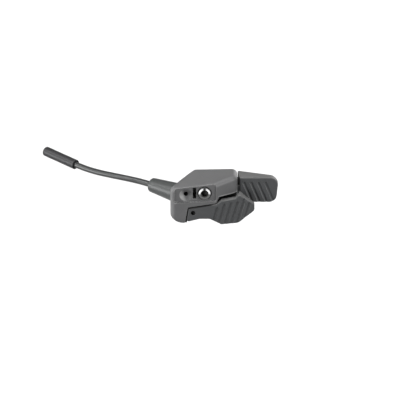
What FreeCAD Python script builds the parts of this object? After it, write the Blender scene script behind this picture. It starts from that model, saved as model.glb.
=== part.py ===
import FreeCAD, Part
import math
import os
from types import SimpleNamespace

import Sketcher

# Electronic shift switch for a flat handlebar, right-hand side.
# Frame: +X outboard along the bar, +Y forward away from the rider, +Z up.
# The origin is on the clamp bolt's axis, in the rear plane that meets the clamp.

V = FreeCAD.Vector
doc = FreeCAD.newDocument("shift_switch")

# Driving dimensions in millimetres and degrees.
# Heights below the bolt axis, depths in front of the rear plane and widths to the left are positive.
SIZES = {
    # clearances of the stack from the rear plane to the front face
    "stack_gap": 0.1,
    "arm_room": 0.8,
    "swing_room": 0.6,
    "pad_room": 3.4,
    "button_stand": 1.0,
    "bolt_recess": 4.1,
    # moulded housing
    "body_left": 18.1,
    "body_right": 17.0,
    "body_bottom": 17.2,
    "top_rear": 6.6,
    "top_front_left": 2.0,
    "top_front_right": 6.9,
    "lead_wall_rear": 5.5,
    "lead_wall_angle": 52.0,
    "bulge_start": 5.4,
    "corner_round": 3.2,
    "bulge_round": 5.0,
    "front_left_round": 2.6,
    "lower_left_round": 7.0,
    "top_round": 2.3,
    # recessed front panel and what it holds
    "panel_sink": 0.9,
    "panel_left": 15.6,
    "panel_right": 6.0,
    "panel_low_left": 5.2,
    "panel_low_right": 4.1,
    "panel_round": 0.8,
    "dish_left": 9.6,
    "dish_below": 1.0,
    "dish_radius": 3.4,
    "dish_depth": 1.5,
    "accessory_radius": 1.25,
    "accessory_depth": 7.0,
    "slot_left": 5.15,
    "slot_width": 1.8,
    "slot_height": 6.2,
    "slot_depth": 5.0,
    # clamp bolt
    "bolt_head_radius": 3.3,
    "bolt_head_height": 3.4,
    "bolt_head_round": 1.3,
    "bolt_thread_radius": 2.0,
    "bolt_waist_radius": 1.75,
    "bolt_reach": 6.0,
    "bolt_point": 0.4,
    "socket_width": 3.0,
    "socket_depth": 2.4,
    "washer_thick": 0.6,
    "sleeve_radius": 3.0,
    "head_clearance": 0.35,
    "fit_clearance": 0.05,
    # notch that takes the front paddle
    "notch_left_low": 10.4,
    "notch_left_high": 8.6,
    "notch_roof_left": 7.7,
    "notch_roof_right": 5.3,
    "notch_step": 6.1,
    "notch_step_run": 1.4,
    "bulge_low": 2.3,
    "paddle_gap": 0.5,
    # cavity, ledge and cover
    "front_wall": 1.8,
    "rim": 1.4,
    "ledge": 1.2,
    "ledge_right": 2.0,
    "cavity_end": 0.5,
    "cavity_roof": 4.2,
    "chamber_left": 5.0,
    "chamber_roof": 2.6,
    "cover_gap": 0.1,
    "cover_sink": 0.3,
    "cover_thick": 1.4,
    "gasket_thick": 0.4,
    "tongue_half": 2.7,
    "tongue_rise": 1.4,
    "screw_radius": 0.6,
    "screw_head_radius": 1.0,
    "screw_head_height": 0.7,
    "screw_length": 4.0,
    # pivots
    "pin_radius": 1.0,
    "bush_radius": 1.6,
    "bush_length": 2.2,
    "boss_radius": 2.4,
    "boss_gap": 0.2,
    "front_pivot_left": 5.86,
    "front_boss_low": 12.4,
    "front_boss_high": 9.4,
    "front_bush_level": 7.0,
    "rear_pivot_right": 7.7,
    "rear_arm_low": 5.0,
    "rear_arm_high": 0.2,
    "rear_bush_length": 1.8,
    "spring_radius": 1.7,
    "spring_wire": 0.2,
    "spring_pitch": 0.5,
    "spring_turns": 2.75,
    "spring_leg": 2.7,
    "peg_width": 0.6,
    "peg_height": 0.9,
    "peg_root": 0.5,
    # front paddle
    "paddle_proud": 0.3,
    "paddle_thick": 2.8,
    "arm_end_low": 15.9,
    "arm_low": 14.1,
    "arm_waist_left": 2.6,
    "pad_waist_right": 2.6,
    "pad_toe_right": 8.6,
    "pad_bottom": 17.2,
    "pad_heel_right": 17.4,
    "pad_heel_rise": 0.9,
    "pad_reach": 25.7,
    "pad_tip_low": 9.3,
    "pad_tip_high": 5.6,
    "pad_shoulder_right": 17.2,
    "pad_shoulder_low": 0.8,
    "pad_valley_right": 15.8,
    "pad_step_drop": 1.6,
    "arm_round": 0.9,
    "pad_round": 2.0,
    "wedge_left": 17.7,
    "wedge_crest": 0.8,
    "pad_edge_round": 0.6,
    "pin_screw_level": 10.6,
    "pin_screw_radius": 0.9,
    "pin_screw_mouth": 1.2,
    "pin_screw_sink": 1.5,
    # rear paddle
    "rear_pad_left": 18.2,
    "rear_pad_right": 38.3,
    "rear_pad_lean": 1.3,
    "rear_pad_low": 9.1,
    "rear_pad_high": 4.7,
    "rear_pad_tail": 2.4,
    "rear_pad_hook": 1.0,
    "rear_pad_lip": 0.6,
    "rear_pad_round": 4.0,
    "rear_pad_heel_round": 0.6,
    "rear_arm_thick": 2.0,
    "rear_pad_proud": 0.6,
    "window_gap": 0.4,
    "window_sweep": 1.1,
    # thumb flutes
    "flute_radius": 0.85,
    "flute_depth": 0.65,
    "front_flute_first": 5.4,
    "front_flute_pitch": 3.3,
    "front_flute_tilt": 15.0,
    "rear_flute_first": 4.6,
    "rear_flute_pitch": 3.7,
    "rear_flute_tilt": 22.0,
    "front_band": 2.2,
    "rear_band": 3.0,
    # switches and circuit board
    "switch_arm": 4.4,
    "switch_level": 10.4,
    "rear_switch_arm": 4.2,
    "rear_switch_level": 2.6,
    "board_thick": 0.8,
    "board_low": 13.3,
    "board_high": 5.4,
    "board_left": 4.2,
    "board_gap": 0.3,
    "switch_width": 3.2,
    "switch_height": 1.6,
    "button_radius": 0.8,
    "button_length": 1.5,
    "touch_gap": 0.05,
    "rod_radius": 0.9,
    "seal_radius": 1.7,
    "nub_radius": 1.3,
    "rear_nub_radius": 0.8,
    "chip_width": 3.2,
    "chip_height": 0.9,
    # boot, lead and plug
    "lead_radius": 1.6,
    "lead_wall_depth": 5.0,
    "lead_level": 7.2,
    "boot_length": 23.0,
    "boot_base_radius": 5.7,
    "boot_end_radius": 3.75,
    "boot_end_round": 0.7,
    "boot_stem_radius": 2.6,
    "boot_overlap": 4.2,
    "lead_inside": 1.6,
    "lead_first_run": 9.6,
    "crimp_radius": 1.95,
    "crimp_length": 1.1,
    "wire_radius": 0.35,
    "wire_spread": 0.5,
    "wire_lead_in": 0.9,
    "wire_landing": 3.4,
    "plug_radius": 2.6,
    "plug_length": 22.0,
    "plug_end_round": 0.7,
    "plug_mouth_radius": 2.1,
    "plug_mouth_depth": 1.2,
    "plug_grip": 3.4,
    "plug_socket_radius": 1.8,
    "plug_socket_depth": 6.0,
    "contact_radius": 0.35,
    "contact_spread": 0.75,
    "contact_reach": 4.2,
}

FRONT_FLUTES = 6
REAR_FLUTES = 4

# Share of the shorter run that each bend of the lead takes up.
ARC_SHARE = 0.45

# Two edges this close together count as one place.
CLOSE = 1e-4

# Free part of the lead, from the boot to the plug, as points of its route.
LEAD_ROUTE = [
    V(-41.0, 18.6, -7.6),
    V(-49.6, 24.8, -8.5),
    V(-57.4, 30.9, -9.3),
    V(-65.1, 37.6, -9.6),
    V(-71.8, 43.4, -8.9),
]

sheet = doc.addObject("Spreadsheet::Sheet", "sizes")
for row, (alias, number) in enumerate(SIZES.items(), 1):
    sheet.set(f"A{row}", alias)
    sheet.set(f"B{row}", str(number))
    sheet.setAlias(f"B{row}", alias)
doc.recompute()


class Size:
    """A size that keeps its number and the sheet expression it comes from."""

    def __init__(self, value, text):
        self.value = float(value)
        self.text = text

    @staticmethod
    def of(other):
        return other if isinstance(other, Size) else Size(other, f"({float(other)!r})")

    def __add__(self, other):
        other = Size.of(other)
        return Size(self.value + other.value, f"({self.text} + {other.text})")

    def __sub__(self, other):
        other = Size.of(other)
        return Size(self.value - other.value, f"({self.text} - {other.text})")

    def __mul__(self, other):
        other = Size.of(other)
        return Size(self.value * other.value, f"({self.text} * {other.text})")

    def __truediv__(self, other):
        other = Size.of(other)
        return Size(self.value / other.value, f"({self.text} / {other.text})")

    def __neg__(self):
        return Size(-self.value, f"(0 - {self.text})")

    def __radd__(self, other):
        return Size.of(other) + self

    def __rsub__(self, other):
        return Size.of(other) - self

    __rmul__ = __mul__

    def sine(self):
        return Size(math.sin(math.radians(self.value)), f"sin({self.text})")

    def cosine(self):
        return Size(math.cos(math.radians(self.value)), f"cos({self.text})")


dim = SimpleNamespace(**{alias: Size(sheet.get(alias), f"sizes.{alias}") for alias in SIZES})
ZERO = Size.of(0)
SPARE = Size.of(1.0)


def bind(obj, **values):
    """Tie properties of an object to sheet expressions; two underscores stand for a dot."""
    for name, value in values.items():
        obj.setExpression(name.replace("__", "."), Size.of(value).text)


def place(obj, base, axis=V(0, 0, 1)):
    """Put an object's own +Z along an axis, with its base point tied to the sheet."""
    x, y, z = (Size.of(c) for c in base)
    turn = FreeCAD.Rotation(V(0, 0, 1), axis)
    obj.Placement = FreeCAD.Placement(V(x.value, y.value, z.value), turn)
    bind(obj, Placement__Base__x=x, Placement__Base__y=y, Placement__Base__z=z)
    return obj


def new_body(label):
    body = doc.addObject("PartDesign::Body", label)
    body.Label = label
    return body


def new_sketch(body, name, role, shift=0):
    """A sketch on one of the body's origin planes, moved along that plane's normal."""
    sketch = body.newObject("Sketcher::SketchObject", f"{body.Label}_{name}")
    support = next(f for f in body.Origin.OriginFeatures if f.Role == role)
    sketch.AttachmentSupport = [(support, "")]
    sketch.MapMode = "FlatFace"
    bind(sketch, AttachmentOffset__Base__z=shift)
    return sketch


def constrain(sketch, size, kind, *references):
    index = sketch.addConstraint(Sketcher.Constraint(kind, *references, size.value))
    sketch.setExpression(f"Constraints[{index}]", size.text)


def pin_point(sketch, geometry, end, x, y):
    constrain(sketch, Size.of(x), "DistanceX", -1, 1, geometry, end)
    constrain(sketch, Size.of(y), "DistanceY", -1, 1, geometry, end)


def outline(sketch, *corners):
    """Closed outline of straight edges; a corner may carry a radius as a third value."""
    corners = [tuple(Size.of(c) for c in corner) for corner in corners]
    points = [V(c[0].value, c[1].value, 0) for c in corners]
    count = len(points)
    trims = []
    for i, corner in enumerate(corners):
        back = (points[i - 1] - points[i]).normalize()
        ahead = (points[(i + 1) % count] - points[i]).normalize()
        half = math.acos(max(-1.0, min(1.0, back.dot(ahead)))) / 2
        trim = corner[2].value / math.tan(half) if len(corner) == 3 else 0.0
        trims.append((points[i] + back * trim, points[i] + ahead * trim, back, ahead, half))
    lines = []
    for i in range(count):
        segment = Part.LineSegment(trims[i][1], trims[(i + 1) % count][0])
        lines.append(sketch.addGeometry(segment, False))
    for i, corner in enumerate(corners):
        before, after = lines[i - 1], lines[i]
        if len(corner) == 2:
            sketch.addConstraint(Sketcher.Constraint("Coincident", before, 2, after, 1))
            pin_point(sketch, after, 1, corner[0], corner[1])
            continue
        start, end, back, ahead, half = trims[i]
        radius = corner[2].value
        middle = points[i] + (back + ahead).normalize() * (radius / math.sin(half) - radius)
        arc = sketch.addGeometry(Part.Arc(start, middle, end), False)
        mark = sketch.addGeometry(Part.Point(points[i]), True)
        offsets = [(sketch.getPoint(arc, end_number) - start).Length for end_number in (1, 2)]
        near, far = (1, 2) if offsets[0] < offsets[1] else (2, 1)
        sketch.addConstraint(Sketcher.Constraint("Tangent", before, 2, arc, near))
        sketch.addConstraint(Sketcher.Constraint("Tangent", arc, far, after, 1))
        constrain(sketch, corner[2], "Radius", arc)
        pin_point(sketch, mark, 1, corner[0], corner[1])
        sketch.addConstraint(Sketcher.Constraint("PointOnObject", mark, 1, before))
        sketch.addConstraint(Sketcher.Constraint("PointOnObject", mark, 1, after))
    return sketch


def pad(body, sketch, length, reverse=False):
    feature = body.newObject("PartDesign::Pad", f"{sketch.Name}_pad")
    feature.Profile = sketch
    feature.Reversed = reverse
    bind(feature, Length=length)
    return feature


def pocket(body, sketch, depth=None, reverse=False):
    """Cut to a depth, or through everything where no depth is given."""
    feature = body.newObject("PartDesign::Pocket", f"{sketch.Name}_pocket")
    feature.Profile = sketch
    feature.Reversed = reverse
    if depth is None:
        feature.Type = "ThroughAll"
    else:
        bind(feature, Length=depth)
    return feature


def revolve(body, sketch):
    feature = body.newObject("PartDesign::Revolution", f"{sketch.Name}_turned")
    feature.Profile = sketch
    feature.ReferenceAxis = (sketch, ["V_Axis"])
    feature.Angle = 360.0
    return feature


def fillet(body, name, radius, choose):
    """Round the edges of the body's present shape that a test picks."""
    doc.recompute()
    base = body.Tip
    picked = [f"Edge{i}" for i, edge in enumerate(base.Shape.Edges, 1) if choose(edge)]
    feature = body.newObject("PartDesign::Fillet", f"{body.Label}_{name}")
    feature.Base = (base, picked)
    bind(feature, Radius=radius)
    return feature


def solid_in_body(body, kind, name, base, axis=V(0, 0, 1), **sizes):
    """Add or take away a primitive inside a body, such as a boss or a drilled hole."""
    feature = body.newObject(f"PartDesign::{kind}", f"{body.Label}_{name}")
    bind(feature, **sizes)
    return place(feature, base, axis)


def bore(body, name, radius, depth, base, axis=V(0, 0, 1)):
    return solid_in_body(body, "SubtractiveCylinder", name, base, axis, Radius=radius, Height=depth)


def primitive(kind, label, base, axis=V(0, 0, 1), **sizes):
    obj = doc.addObject(f"Part::{kind}", label)
    bind(obj, **sizes)
    return place(obj, base, axis)


def cylinder(label, radius, height, base, axis=V(0, 0, 1)):
    return primitive("Cylinder", label, base, axis, Radius=radius, Height=height)


def cut(label, base, tool):
    obj = doc.addObject("Part::Cut", label)
    obj.Base = base
    obj.Tool = tool
    return obj


def fuse(label, shapes):
    obj = doc.addObject("Part::MultiFuse", label)
    obj.Shapes = shapes
    return obj


def ring(label, outer, inner, height, base, axis=V(0, 0, 1)):
    """A straight collar: bush, washer, sleeve or seal."""
    solid = cylinder(f"{label}_outside", outer, height, base, axis)
    hole = cylinder(f"{label}_inside", inner, height, base, axis)
    return cut(label, solid, hole)


def at_corner(edge, x, y):
    """True for an upright edge that stands at a corner of the plan."""
    return all(abs(v.X - x.value) < CLOSE and abs(v.Y - y.value) < CLOSE for v in edge.Vertexes)


ALONG_Y = V(0, 1, 0)
AGAINST_Y = V(0, -1, 0)
nodes = []

# The stack in depth: rear wall, board, rear paddle's pivot and arm, front wall, front pivot, front paddle.
wall_inner = dim.rim + dim.ledge
board_front = wall_inner + dim.board_thick
button_tip = board_front + dim.switch_height + dim.button_stand
rear_pivot_depth = board_front + dim.stack_gap + dim.boss_radius
rear_arm_front = rear_pivot_depth + dim.boss_radius + dim.stack_gap
rear_pad_front = rear_arm_front + dim.rear_pad_proud
cavity_front = rear_arm_front + dim.arm_room
notch_back = cavity_front + dim.front_wall
nub_end = notch_back + dim.swing_room
bulge_back = notch_back + dim.swing_room
wedge_depth = rear_pad_front + dim.pad_room
front_pivot_depth = notch_back + dim.swing_room + dim.boss_radius
tongue_front = front_pivot_depth + dim.bush_radius
paddle_rear = front_pivot_depth + dim.boss_radius + dim.stack_gap
paddle_front = paddle_rear + dim.paddle_thick
body_depth = paddle_front - dim.paddle_proud
panel_depth = body_depth - dim.panel_sink
bolt_seat = panel_depth - dim.bolt_recess
front_pivot = (-dim.front_pivot_left, -front_pivot_depth)
rear_pivot = (dim.rear_pivot_right, -rear_pivot_depth)

# Positions that several pieces share.
wall_slope = dim.lead_wall_angle.cosine() / dim.lead_wall_angle.sine()
wall_sine = dim.lead_wall_angle.sine()


def lead_wall_x(depth, inward=0):
    """X on the slanted wall that the lead leaves, at a depth, moved inward by a wall thickness."""
    return -dim.lead_wall_rear - depth * wall_slope + Size.of(inward) / wall_sine


def lead_wall_depth(x, inward=0):
    return (-x - dim.lead_wall_rear + Size.of(inward) / wall_sine) / wall_slope


lead_out = V(-dim.lead_wall_angle.sine().value, dim.lead_wall_angle.cosine().value, 0)


def lead_point(distance):
    """Point on the boot's axis, at a distance out from the slanted wall."""
    distance = Size.of(distance)
    return (
        lead_wall_x(dim.lead_wall_depth) - distance * dim.lead_wall_angle.sine(),
        -dim.lead_wall_depth + distance * dim.lead_wall_angle.cosine(),
        -dim.lead_level,
    )


cavity_left = -lead_wall_x(cavity_front - dim.cavity_end, wall_inner)
cover_left = cavity_left + dim.ledge
cavity_right = dim.body_right - dim.rim - dim.ledge_right
cover_low = dim.body_bottom - dim.cover_sink
cover_high = cover_low - dim.cover_thick
seat_level = cover_high - dim.gasket_thick
bush_hole = dim.bush_radius + dim.fit_clearance
bush_bore = dim.pin_radius + dim.fit_clearance
pin_hole = dim.pin_radius + dim.fit_clearance / 2
rod_right = dim.switch_arm - dim.front_pivot_left
rear_nub_right = dim.rear_pivot_right + dim.rear_switch_arm
front_spring_low = -dim.front_boss_high + dim.spring_wire + dim.touch_gap
rear_spring_low = -dim.rear_arm_high + dim.spring_wire + dim.touch_gap
spring_height = dim.spring_pitch * dim.spring_turns
screw_places = [
    (cavity_right + dim.ledge_right / 2 - dim.cover_gap, -wall_inner),
    (cavity_right + dim.ledge_right / 2 - dim.cover_gap, -(notch_back + cavity_front) / 2),
    (-cavity_left + dim.cover_gap, -(notch_back + cavity_front) / 2),
]


# Main housing: a ruled loft whose top twists down to the front left, trimmed in plan.
housing = new_body("main_housing")
front_face = new_sketch(housing, "front_face", "XZ_Plane", body_depth)
outline(front_face, (-dim.body_left, -dim.body_bottom, dim.lower_left_round),
        (dim.body_right, -dim.body_bottom), (dim.body_right, dim.top_front_right),
        (-dim.body_left, dim.top_front_left))
rear_face = new_sketch(housing, "rear_face", "XZ_Plane")
outline(rear_face, (-dim.body_left, -dim.body_bottom, dim.lower_left_round),
        (dim.body_right, -dim.body_bottom), (dim.body_right, dim.top_rear),
        (-dim.body_left, dim.top_rear))
loft = housing.newObject("PartDesign::AdditiveLoft", "main_housing_loft")
loft.Profile = front_face
loft.Sections = [rear_face]
loft.Ruled = True

plan = new_sketch(housing, "plan", "XY_Plane", -dim.body_bottom - SPARE)
outline(plan, (lead_wall_x(-SPARE), SPARE), (-dim.body_left - SPARE, SPARE),
        (-dim.body_left - SPARE, -lead_wall_depth(-dim.body_left - SPARE)))
outline(plan, (dim.bulge_start, -body_depth), (dim.body_right, -bulge_back),
        (dim.body_right + SPARE, -bulge_back), (dim.body_right + SPARE, -body_depth - SPARE),
        (dim.bulge_start, -body_depth - SPARE))
pocket(housing, plan, reverse=True)

left_corner = lead_wall_depth(-dim.body_left)
fillet(housing, "bulge_edge", dim.bulge_round,
       lambda e: at_corner(e, dim.body_right, -bulge_back))
fillet(housing, "corner_edges", dim.corner_round,
       lambda e: at_corner(e, dim.body_right, ZERO) or at_corner(e, -dim.lead_wall_rear, ZERO)
       or at_corner(e, dim.bulge_start, -body_depth) or at_corner(e, -dim.body_left, -left_corner))
fillet(housing, "front_left_edge", dim.front_left_round,
       lambda e: at_corner(e, -dim.body_left, -body_depth))
fillet(housing, "top_edges", dim.top_round,
       lambda e: e.BoundBox.ZMin > 0 and e.BoundBox.ZLength < dim.top_rear.value)

panel = new_sketch(housing, "panel", "XZ_Plane", body_depth + SPARE)
outline(panel, (-dim.panel_left, -dim.panel_low_left, dim.panel_round),
        (dim.panel_right, -dim.panel_low_right, dim.panel_round),
        (dim.panel_right, dim.top_rear + SPARE), (-dim.panel_left, dim.top_rear + SPARE))
pocket(housing, panel, dim.panel_sink + SPARE)

notch = new_sketch(housing, "notch", "XZ_Plane", notch_back)
outline(notch, (-dim.notch_left_low, -dim.body_bottom - SPARE),
        (-dim.notch_left_high, -dim.notch_roof_left, dim.panel_round),
        (dim.notch_step, -dim.notch_roof_right),
        (dim.notch_step + dim.notch_step_run, -dim.bulge_low),
        (dim.body_right + SPARE, -dim.bulge_low), (dim.body_right + SPARE, -dim.body_bottom - SPARE))
pocket(housing, notch, reverse=True)

cover_seat = new_sketch(housing, "cover_seat", "XY_Plane", -dim.body_bottom)
seat_left = cover_left + dim.cover_gap
outline(cover_seat, (-seat_left, -notch_back),
        (dim.body_right - dim.rim, -notch_back), (dim.body_right - dim.rim, -dim.rim),
        (lead_wall_x(dim.rim, dim.rim), -dim.rim),
        (-seat_left, -lead_wall_depth(-seat_left, dim.rim)))
pocket(housing, cover_seat, dim.body_bottom - seat_level, reverse=True)

CAVITY = [(-cavity_left, -cavity_front), (cavity_right, -cavity_front), (cavity_right, -wall_inner),
          (lead_wall_x(wall_inner, wall_inner), -wall_inner),
          (-cavity_left, -lead_wall_depth(-cavity_left, wall_inner))]
cavity = new_sketch(housing, "cavity", "XY_Plane", -dim.body_bottom)
outline(cavity, *CAVITY)
pocket(housing, cavity, dim.body_bottom - dim.cavity_roof, reverse=True)

chamber = new_sketch(housing, "chamber", "XY_Plane", -dim.body_bottom)
outline(chamber, (dim.chamber_left, -cavity_front), (cavity_right, -cavity_front),
        (cavity_right, -wall_inner), (dim.chamber_left, -wall_inner))
pocket(housing, chamber, dim.body_bottom + dim.chamber_roof, reverse=True)

window = new_sketch(housing, "window", "YZ_Plane", dim.body_right + SPARE)
window_rear = rear_arm_front - dim.rear_arm_thick - dim.window_sweep - dim.window_gap
outline(window, (-rear_arm_front - dim.window_gap, -dim.rear_arm_low - dim.window_gap),
        (-window_rear, -dim.rear_arm_low - dim.window_gap),
        (-window_rear, -dim.rear_arm_high + dim.window_gap),
        (-rear_arm_front - dim.window_gap, -dim.rear_arm_high + dim.window_gap))
pocket(housing, window, dim.body_right - cavity_right + SPARE * 2)

slot = new_sketch(housing, "slot", "XZ_Plane", panel_depth)
outline(slot, (-dim.slot_left - dim.slot_width / 2, -dim.slot_height / 2),
        (-dim.slot_left + dim.slot_width / 2, -dim.slot_height / 2),
        (-dim.slot_left + dim.slot_width / 2, dim.slot_height / 2),
        (-dim.slot_left - dim.slot_width / 2, dim.slot_height / 2))
pocket(housing, slot, dim.slot_depth)

bore(housing, "bolt_seat", dim.bolt_head_radius + dim.head_clearance,
     panel_depth - bolt_seat + SPARE, (ZERO, -panel_depth - SPARE, ZERO), ALONG_Y)
bore(housing, "sleeve_hole", dim.sleeve_radius, body_depth + SPARE,
     (ZERO, -body_depth, ZERO), ALONG_Y)
solid_in_body(housing, "SubtractiveCone", "dish", (-dim.dish_left, -panel_depth, -dim.dish_below), ALONG_Y,
              Radius1=dim.dish_radius, Radius2=dim.accessory_radius, Height=dim.dish_depth)
bore(housing, "accessory_hole", dim.accessory_radius, dim.dish_depth + dim.accessory_depth,
     (-dim.dish_left, -panel_depth, -dim.dish_below), ALONG_Y)
bore(housing, "lead_hole", dim.boot_stem_radius + dim.fit_clearance, wall_inner + SPARE,
     lead_point(-wall_inner - SPARE / 2), lead_out)
bore(housing, "front_bush_hole", bush_hole, dim.bush_length + dim.touch_gap + SPARE,
     (*front_pivot, -dim.front_bush_level - SPARE))
bore(housing, "rear_bush_hole", bush_hole, dim.rear_bush_length + dim.touch_gap + SPARE,
     (*rear_pivot, dim.chamber_roof - SPARE))
bore(housing, "rod_hole", dim.seal_radius, dim.front_wall + SPARE,
     (rod_right, -notch_back - SPARE / 2, -dim.switch_level), ALONG_Y)
for number, (x, y) in enumerate(screw_places, 1):
    bore(housing, f"screw_hole_{number}", dim.screw_radius, dim.screw_length, (x, y, -seat_level))

stop_gap = dim.spring_wire + dim.touch_gap
solid_in_body(housing, "AdditiveBox", "front_spring_stop",
              (-dim.front_pivot_left + dim.spring_radius - stop_gap - dim.peg_width,
               -notch_back - SPARE, -dim.front_bush_level - dim.peg_height),
              Length=dim.peg_width, Width=SPARE, Height=dim.peg_height + SPARE)
solid_in_body(housing, "AdditiveBox", "rear_spring_stop",
              (dim.rear_pivot_right + dim.spring_radius - stop_gap - dim.peg_width,
               -wall_inner - SPARE, dim.chamber_roof - dim.peg_height - SPARE),
              Length=dim.peg_width, Width=SPARE + dim.peg_root, Height=dim.peg_height + SPARE + dim.peg_root)
nodes.append(housing)


# Base cover with the tongue and the post that carry the lower ends of the two pivots.
cover = new_body("base_cover")
cover_plan = new_sketch(cover, "plan", "XY_Plane", -cover_low)
cover_edge = dim.rim + dim.cover_gap
cover_front = notch_back - dim.cover_gap
tongue_left = -dim.front_pivot_left - dim.tongue_half
tongue_right = -dim.front_pivot_left + dim.tongue_half
outline(cover_plan, (tongue_left, -tongue_front), (tongue_right, -tongue_front),
        (tongue_right, -cover_front), (dim.body_right - cover_edge, -cover_front),
        (dim.body_right - cover_edge, -cover_edge), (lead_wall_x(cover_edge, cover_edge), -cover_edge),
        (-cover_left, -lead_wall_depth(-cover_left, cover_edge)),
        (-cover_left, -cover_front), (tongue_left, -cover_front))
pad(cover, cover_plan, dim.cover_thick)
rear_post_high = -dim.rear_arm_low - dim.boss_gap
front_post_high = -dim.front_boss_low - dim.boss_gap
solid_in_body(cover, "AdditiveCylinder", "rear_post", (*rear_pivot, -cover_low),
              Radius=dim.boss_radius - dim.boss_gap, Height=cover_low + rear_post_high)
solid_in_body(cover, "AdditiveCylinder", "front_post", (*front_pivot, -cover_low),
              Radius=dim.boss_radius - dim.boss_gap, Height=cover_low + front_post_high)
taper = new_sketch(cover, "tongue_taper", "YZ_Plane", tongue_right + SPARE)
outline(taper, (-cover_front, -cover_low), (-tongue_front - SPARE, -cover_low),
        (-tongue_front - SPARE, -cover_low + dim.tongue_rise))
pocket(cover, taper, dim.tongue_half * 2 + SPARE * 2)
for name, pivot, level in (("rear", rear_pivot, rear_post_high), ("front", front_pivot, front_post_high)):
    bore(cover, f"{name}_bush_hole", bush_hole, dim.bush_length + SPARE, (*pivot, level - dim.bush_length))
for number, (x, y) in enumerate(screw_places, 1):
    bore(cover, f"screw_hole_{number}", dim.screw_radius + dim.fit_clearance, dim.cover_thick,
         (x, y, -cover_low))
    bore(cover, f"screw_seat_{number}", dim.screw_head_radius + dim.fit_clearance, dim.screw_head_height,
         (x, y, -cover_low))
nodes.append(cover)

gasket = new_body("cover_gasket")
gasket_plan = new_sketch(gasket, "plan", "XY_Plane", -cover_high)
outline(gasket_plan, (-cover_left, -cover_front), (dim.body_right - cover_edge, -cover_front),
        (dim.body_right - cover_edge, -cover_edge), (lead_wall_x(cover_edge, cover_edge), -cover_edge),
        (-cover_left, -lead_wall_depth(-cover_left, cover_edge)))
outline(gasket_plan, *CAVITY)
pad(gasket, gasket_plan, dim.gasket_thick)
for number, (x, y) in enumerate(screw_places, 1):
    bore(gasket, f"screw_hole_{number}", dim.screw_radius + dim.fit_clearance, dim.gasket_thick,
         (x, y, -cover_high))
nodes.append(gasket)

screws = []
for number, (x, y) in enumerate(screw_places, 1):
    head = cylinder(f"screw_head_{number}", dim.screw_head_radius, dim.screw_head_height,
                    (x, y, -cover_low))
    shank = cylinder(f"screw_shank_{number}", dim.screw_radius, dim.screw_length,
                     (x, y, -cover_low + dim.screw_head_height))
    screws.append(fuse(f"screw_{number}", [head, shank]))
cover_screws = doc.addObject("Part::Compound", "cover_screws")
cover_screws.Links = screws
nodes.append(cover_screws)


# Clamp bolt: turned head with a rounded rim, waisted shank and a threaded end behind the rear plane.
bolt = new_body("mounting_bolt")
head_back = bolt_seat + dim.washer_thick
head_front = head_back + dim.bolt_head_height
bolt_profile = new_sketch(bolt, "profile", "XZ_Plane")
outline(bolt_profile, (ZERO, -head_front), (dim.bolt_head_radius, -head_front, dim.bolt_head_round),
        (dim.bolt_head_radius, -head_back), (dim.bolt_waist_radius, -head_back),
        (dim.bolt_waist_radius, ZERO), (dim.bolt_thread_radius, ZERO),
        (dim.bolt_thread_radius, dim.bolt_reach - dim.bolt_point),
        (dim.bolt_thread_radius - dim.bolt_point, dim.bolt_reach), (ZERO, dim.bolt_reach))
revolve(bolt, bolt_profile)
socket = new_sketch(bolt, "socket", "XY_Plane", -head_front)
socket_corner = dim.socket_width / math.sqrt(3)
hexagon = [math.radians(60 * k) for k in range(6)]
outline(socket, *[(socket_corner * math.cos(turn), socket_corner * math.sin(turn)) for turn in hexagon])
pocket(bolt, socket, dim.socket_depth, reverse=True)
place(bolt, (ZERO, ZERO, ZERO), ALONG_Y)
nodes.append(bolt)
nodes.append(ring("bolt_washer", dim.bolt_head_radius, dim.bolt_thread_radius + dim.fit_clearance,
                  dim.washer_thick, (ZERO, -head_back, ZERO), ALONG_Y))
nodes.append(ring("bolt_sleeve", dim.sleeve_radius, dim.bolt_thread_radius + dim.fit_clearance,
                  bolt_seat, (ZERO, -bolt_seat, ZERO), ALONG_Y))


def flutes(name, corners, first, pitch, count, tilt, face, top_band):
    """Narrow round grooves from a plain top band down past the outline's lower edge, leaning by the tilt."""
    lean = V(math.sin(math.radians(tilt)), 0, math.cos(math.radians(tilt)))
    cutters = []
    for k in range(count):
        x = first + pitch * k
        low, high = upright_span(corners, x.value)
        low = low - dim.flute_radius.value
        high = high - top_band
        middle = (low + high) / 2
        half = (high - low) / 2 / lean.z
        depth = -face - dim.flute_radius + dim.flute_depth
        ends = [(x + lean.x * side * half, depth, ZERO + middle + lean.z * side * half) for side in (-1, 1)]
        shaft = cylinder(f"{name}_shaft_{k}", dim.flute_radius, 2 * half, ends[0], lean)
        ball = primitive("Sphere", f"{name}_ball_{k}", ends[1], Radius=dim.flute_radius)
        cutters.append(fuse(f"{name}_flute_{k}", [shaft, ball]))
    tool = doc.addObject("Part::Compound", f"{name}_flutes")
    tool.Links = cutters
    return tool


def spring_peg(body, pivot, level):
    """Peg on a paddle that the return spring's lower leg pushes against."""
    x = pivot[0] + dim.spring_radius + dim.spring_wire
    y = pivot[1] + dim.spring_radius - stop_gap - dim.peg_width
    solid_in_body(body, "AdditiveBox", "peg", (x, y, level - SPARE),
                  Length=dim.peg_width, Width=dim.peg_width, Height=dim.peg_height + SPARE)


def upright_span(corners, x):
    """Lowest and highest point of an outline on the upright line at x."""
    heights = []
    for start, end in zip(corners, corners[1:] + corners[:1]):
        x0, z0, x1, z1 = start[0].value, start[1].value, end[0].value, end[1].value
        if min(x0, x1) <= x <= max(x0, x1) and x0 != x1:
            heights.append(z0 + (z1 - z0) * (x - x0) / (x1 - x0))
    return min(heights), max(heights)


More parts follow.
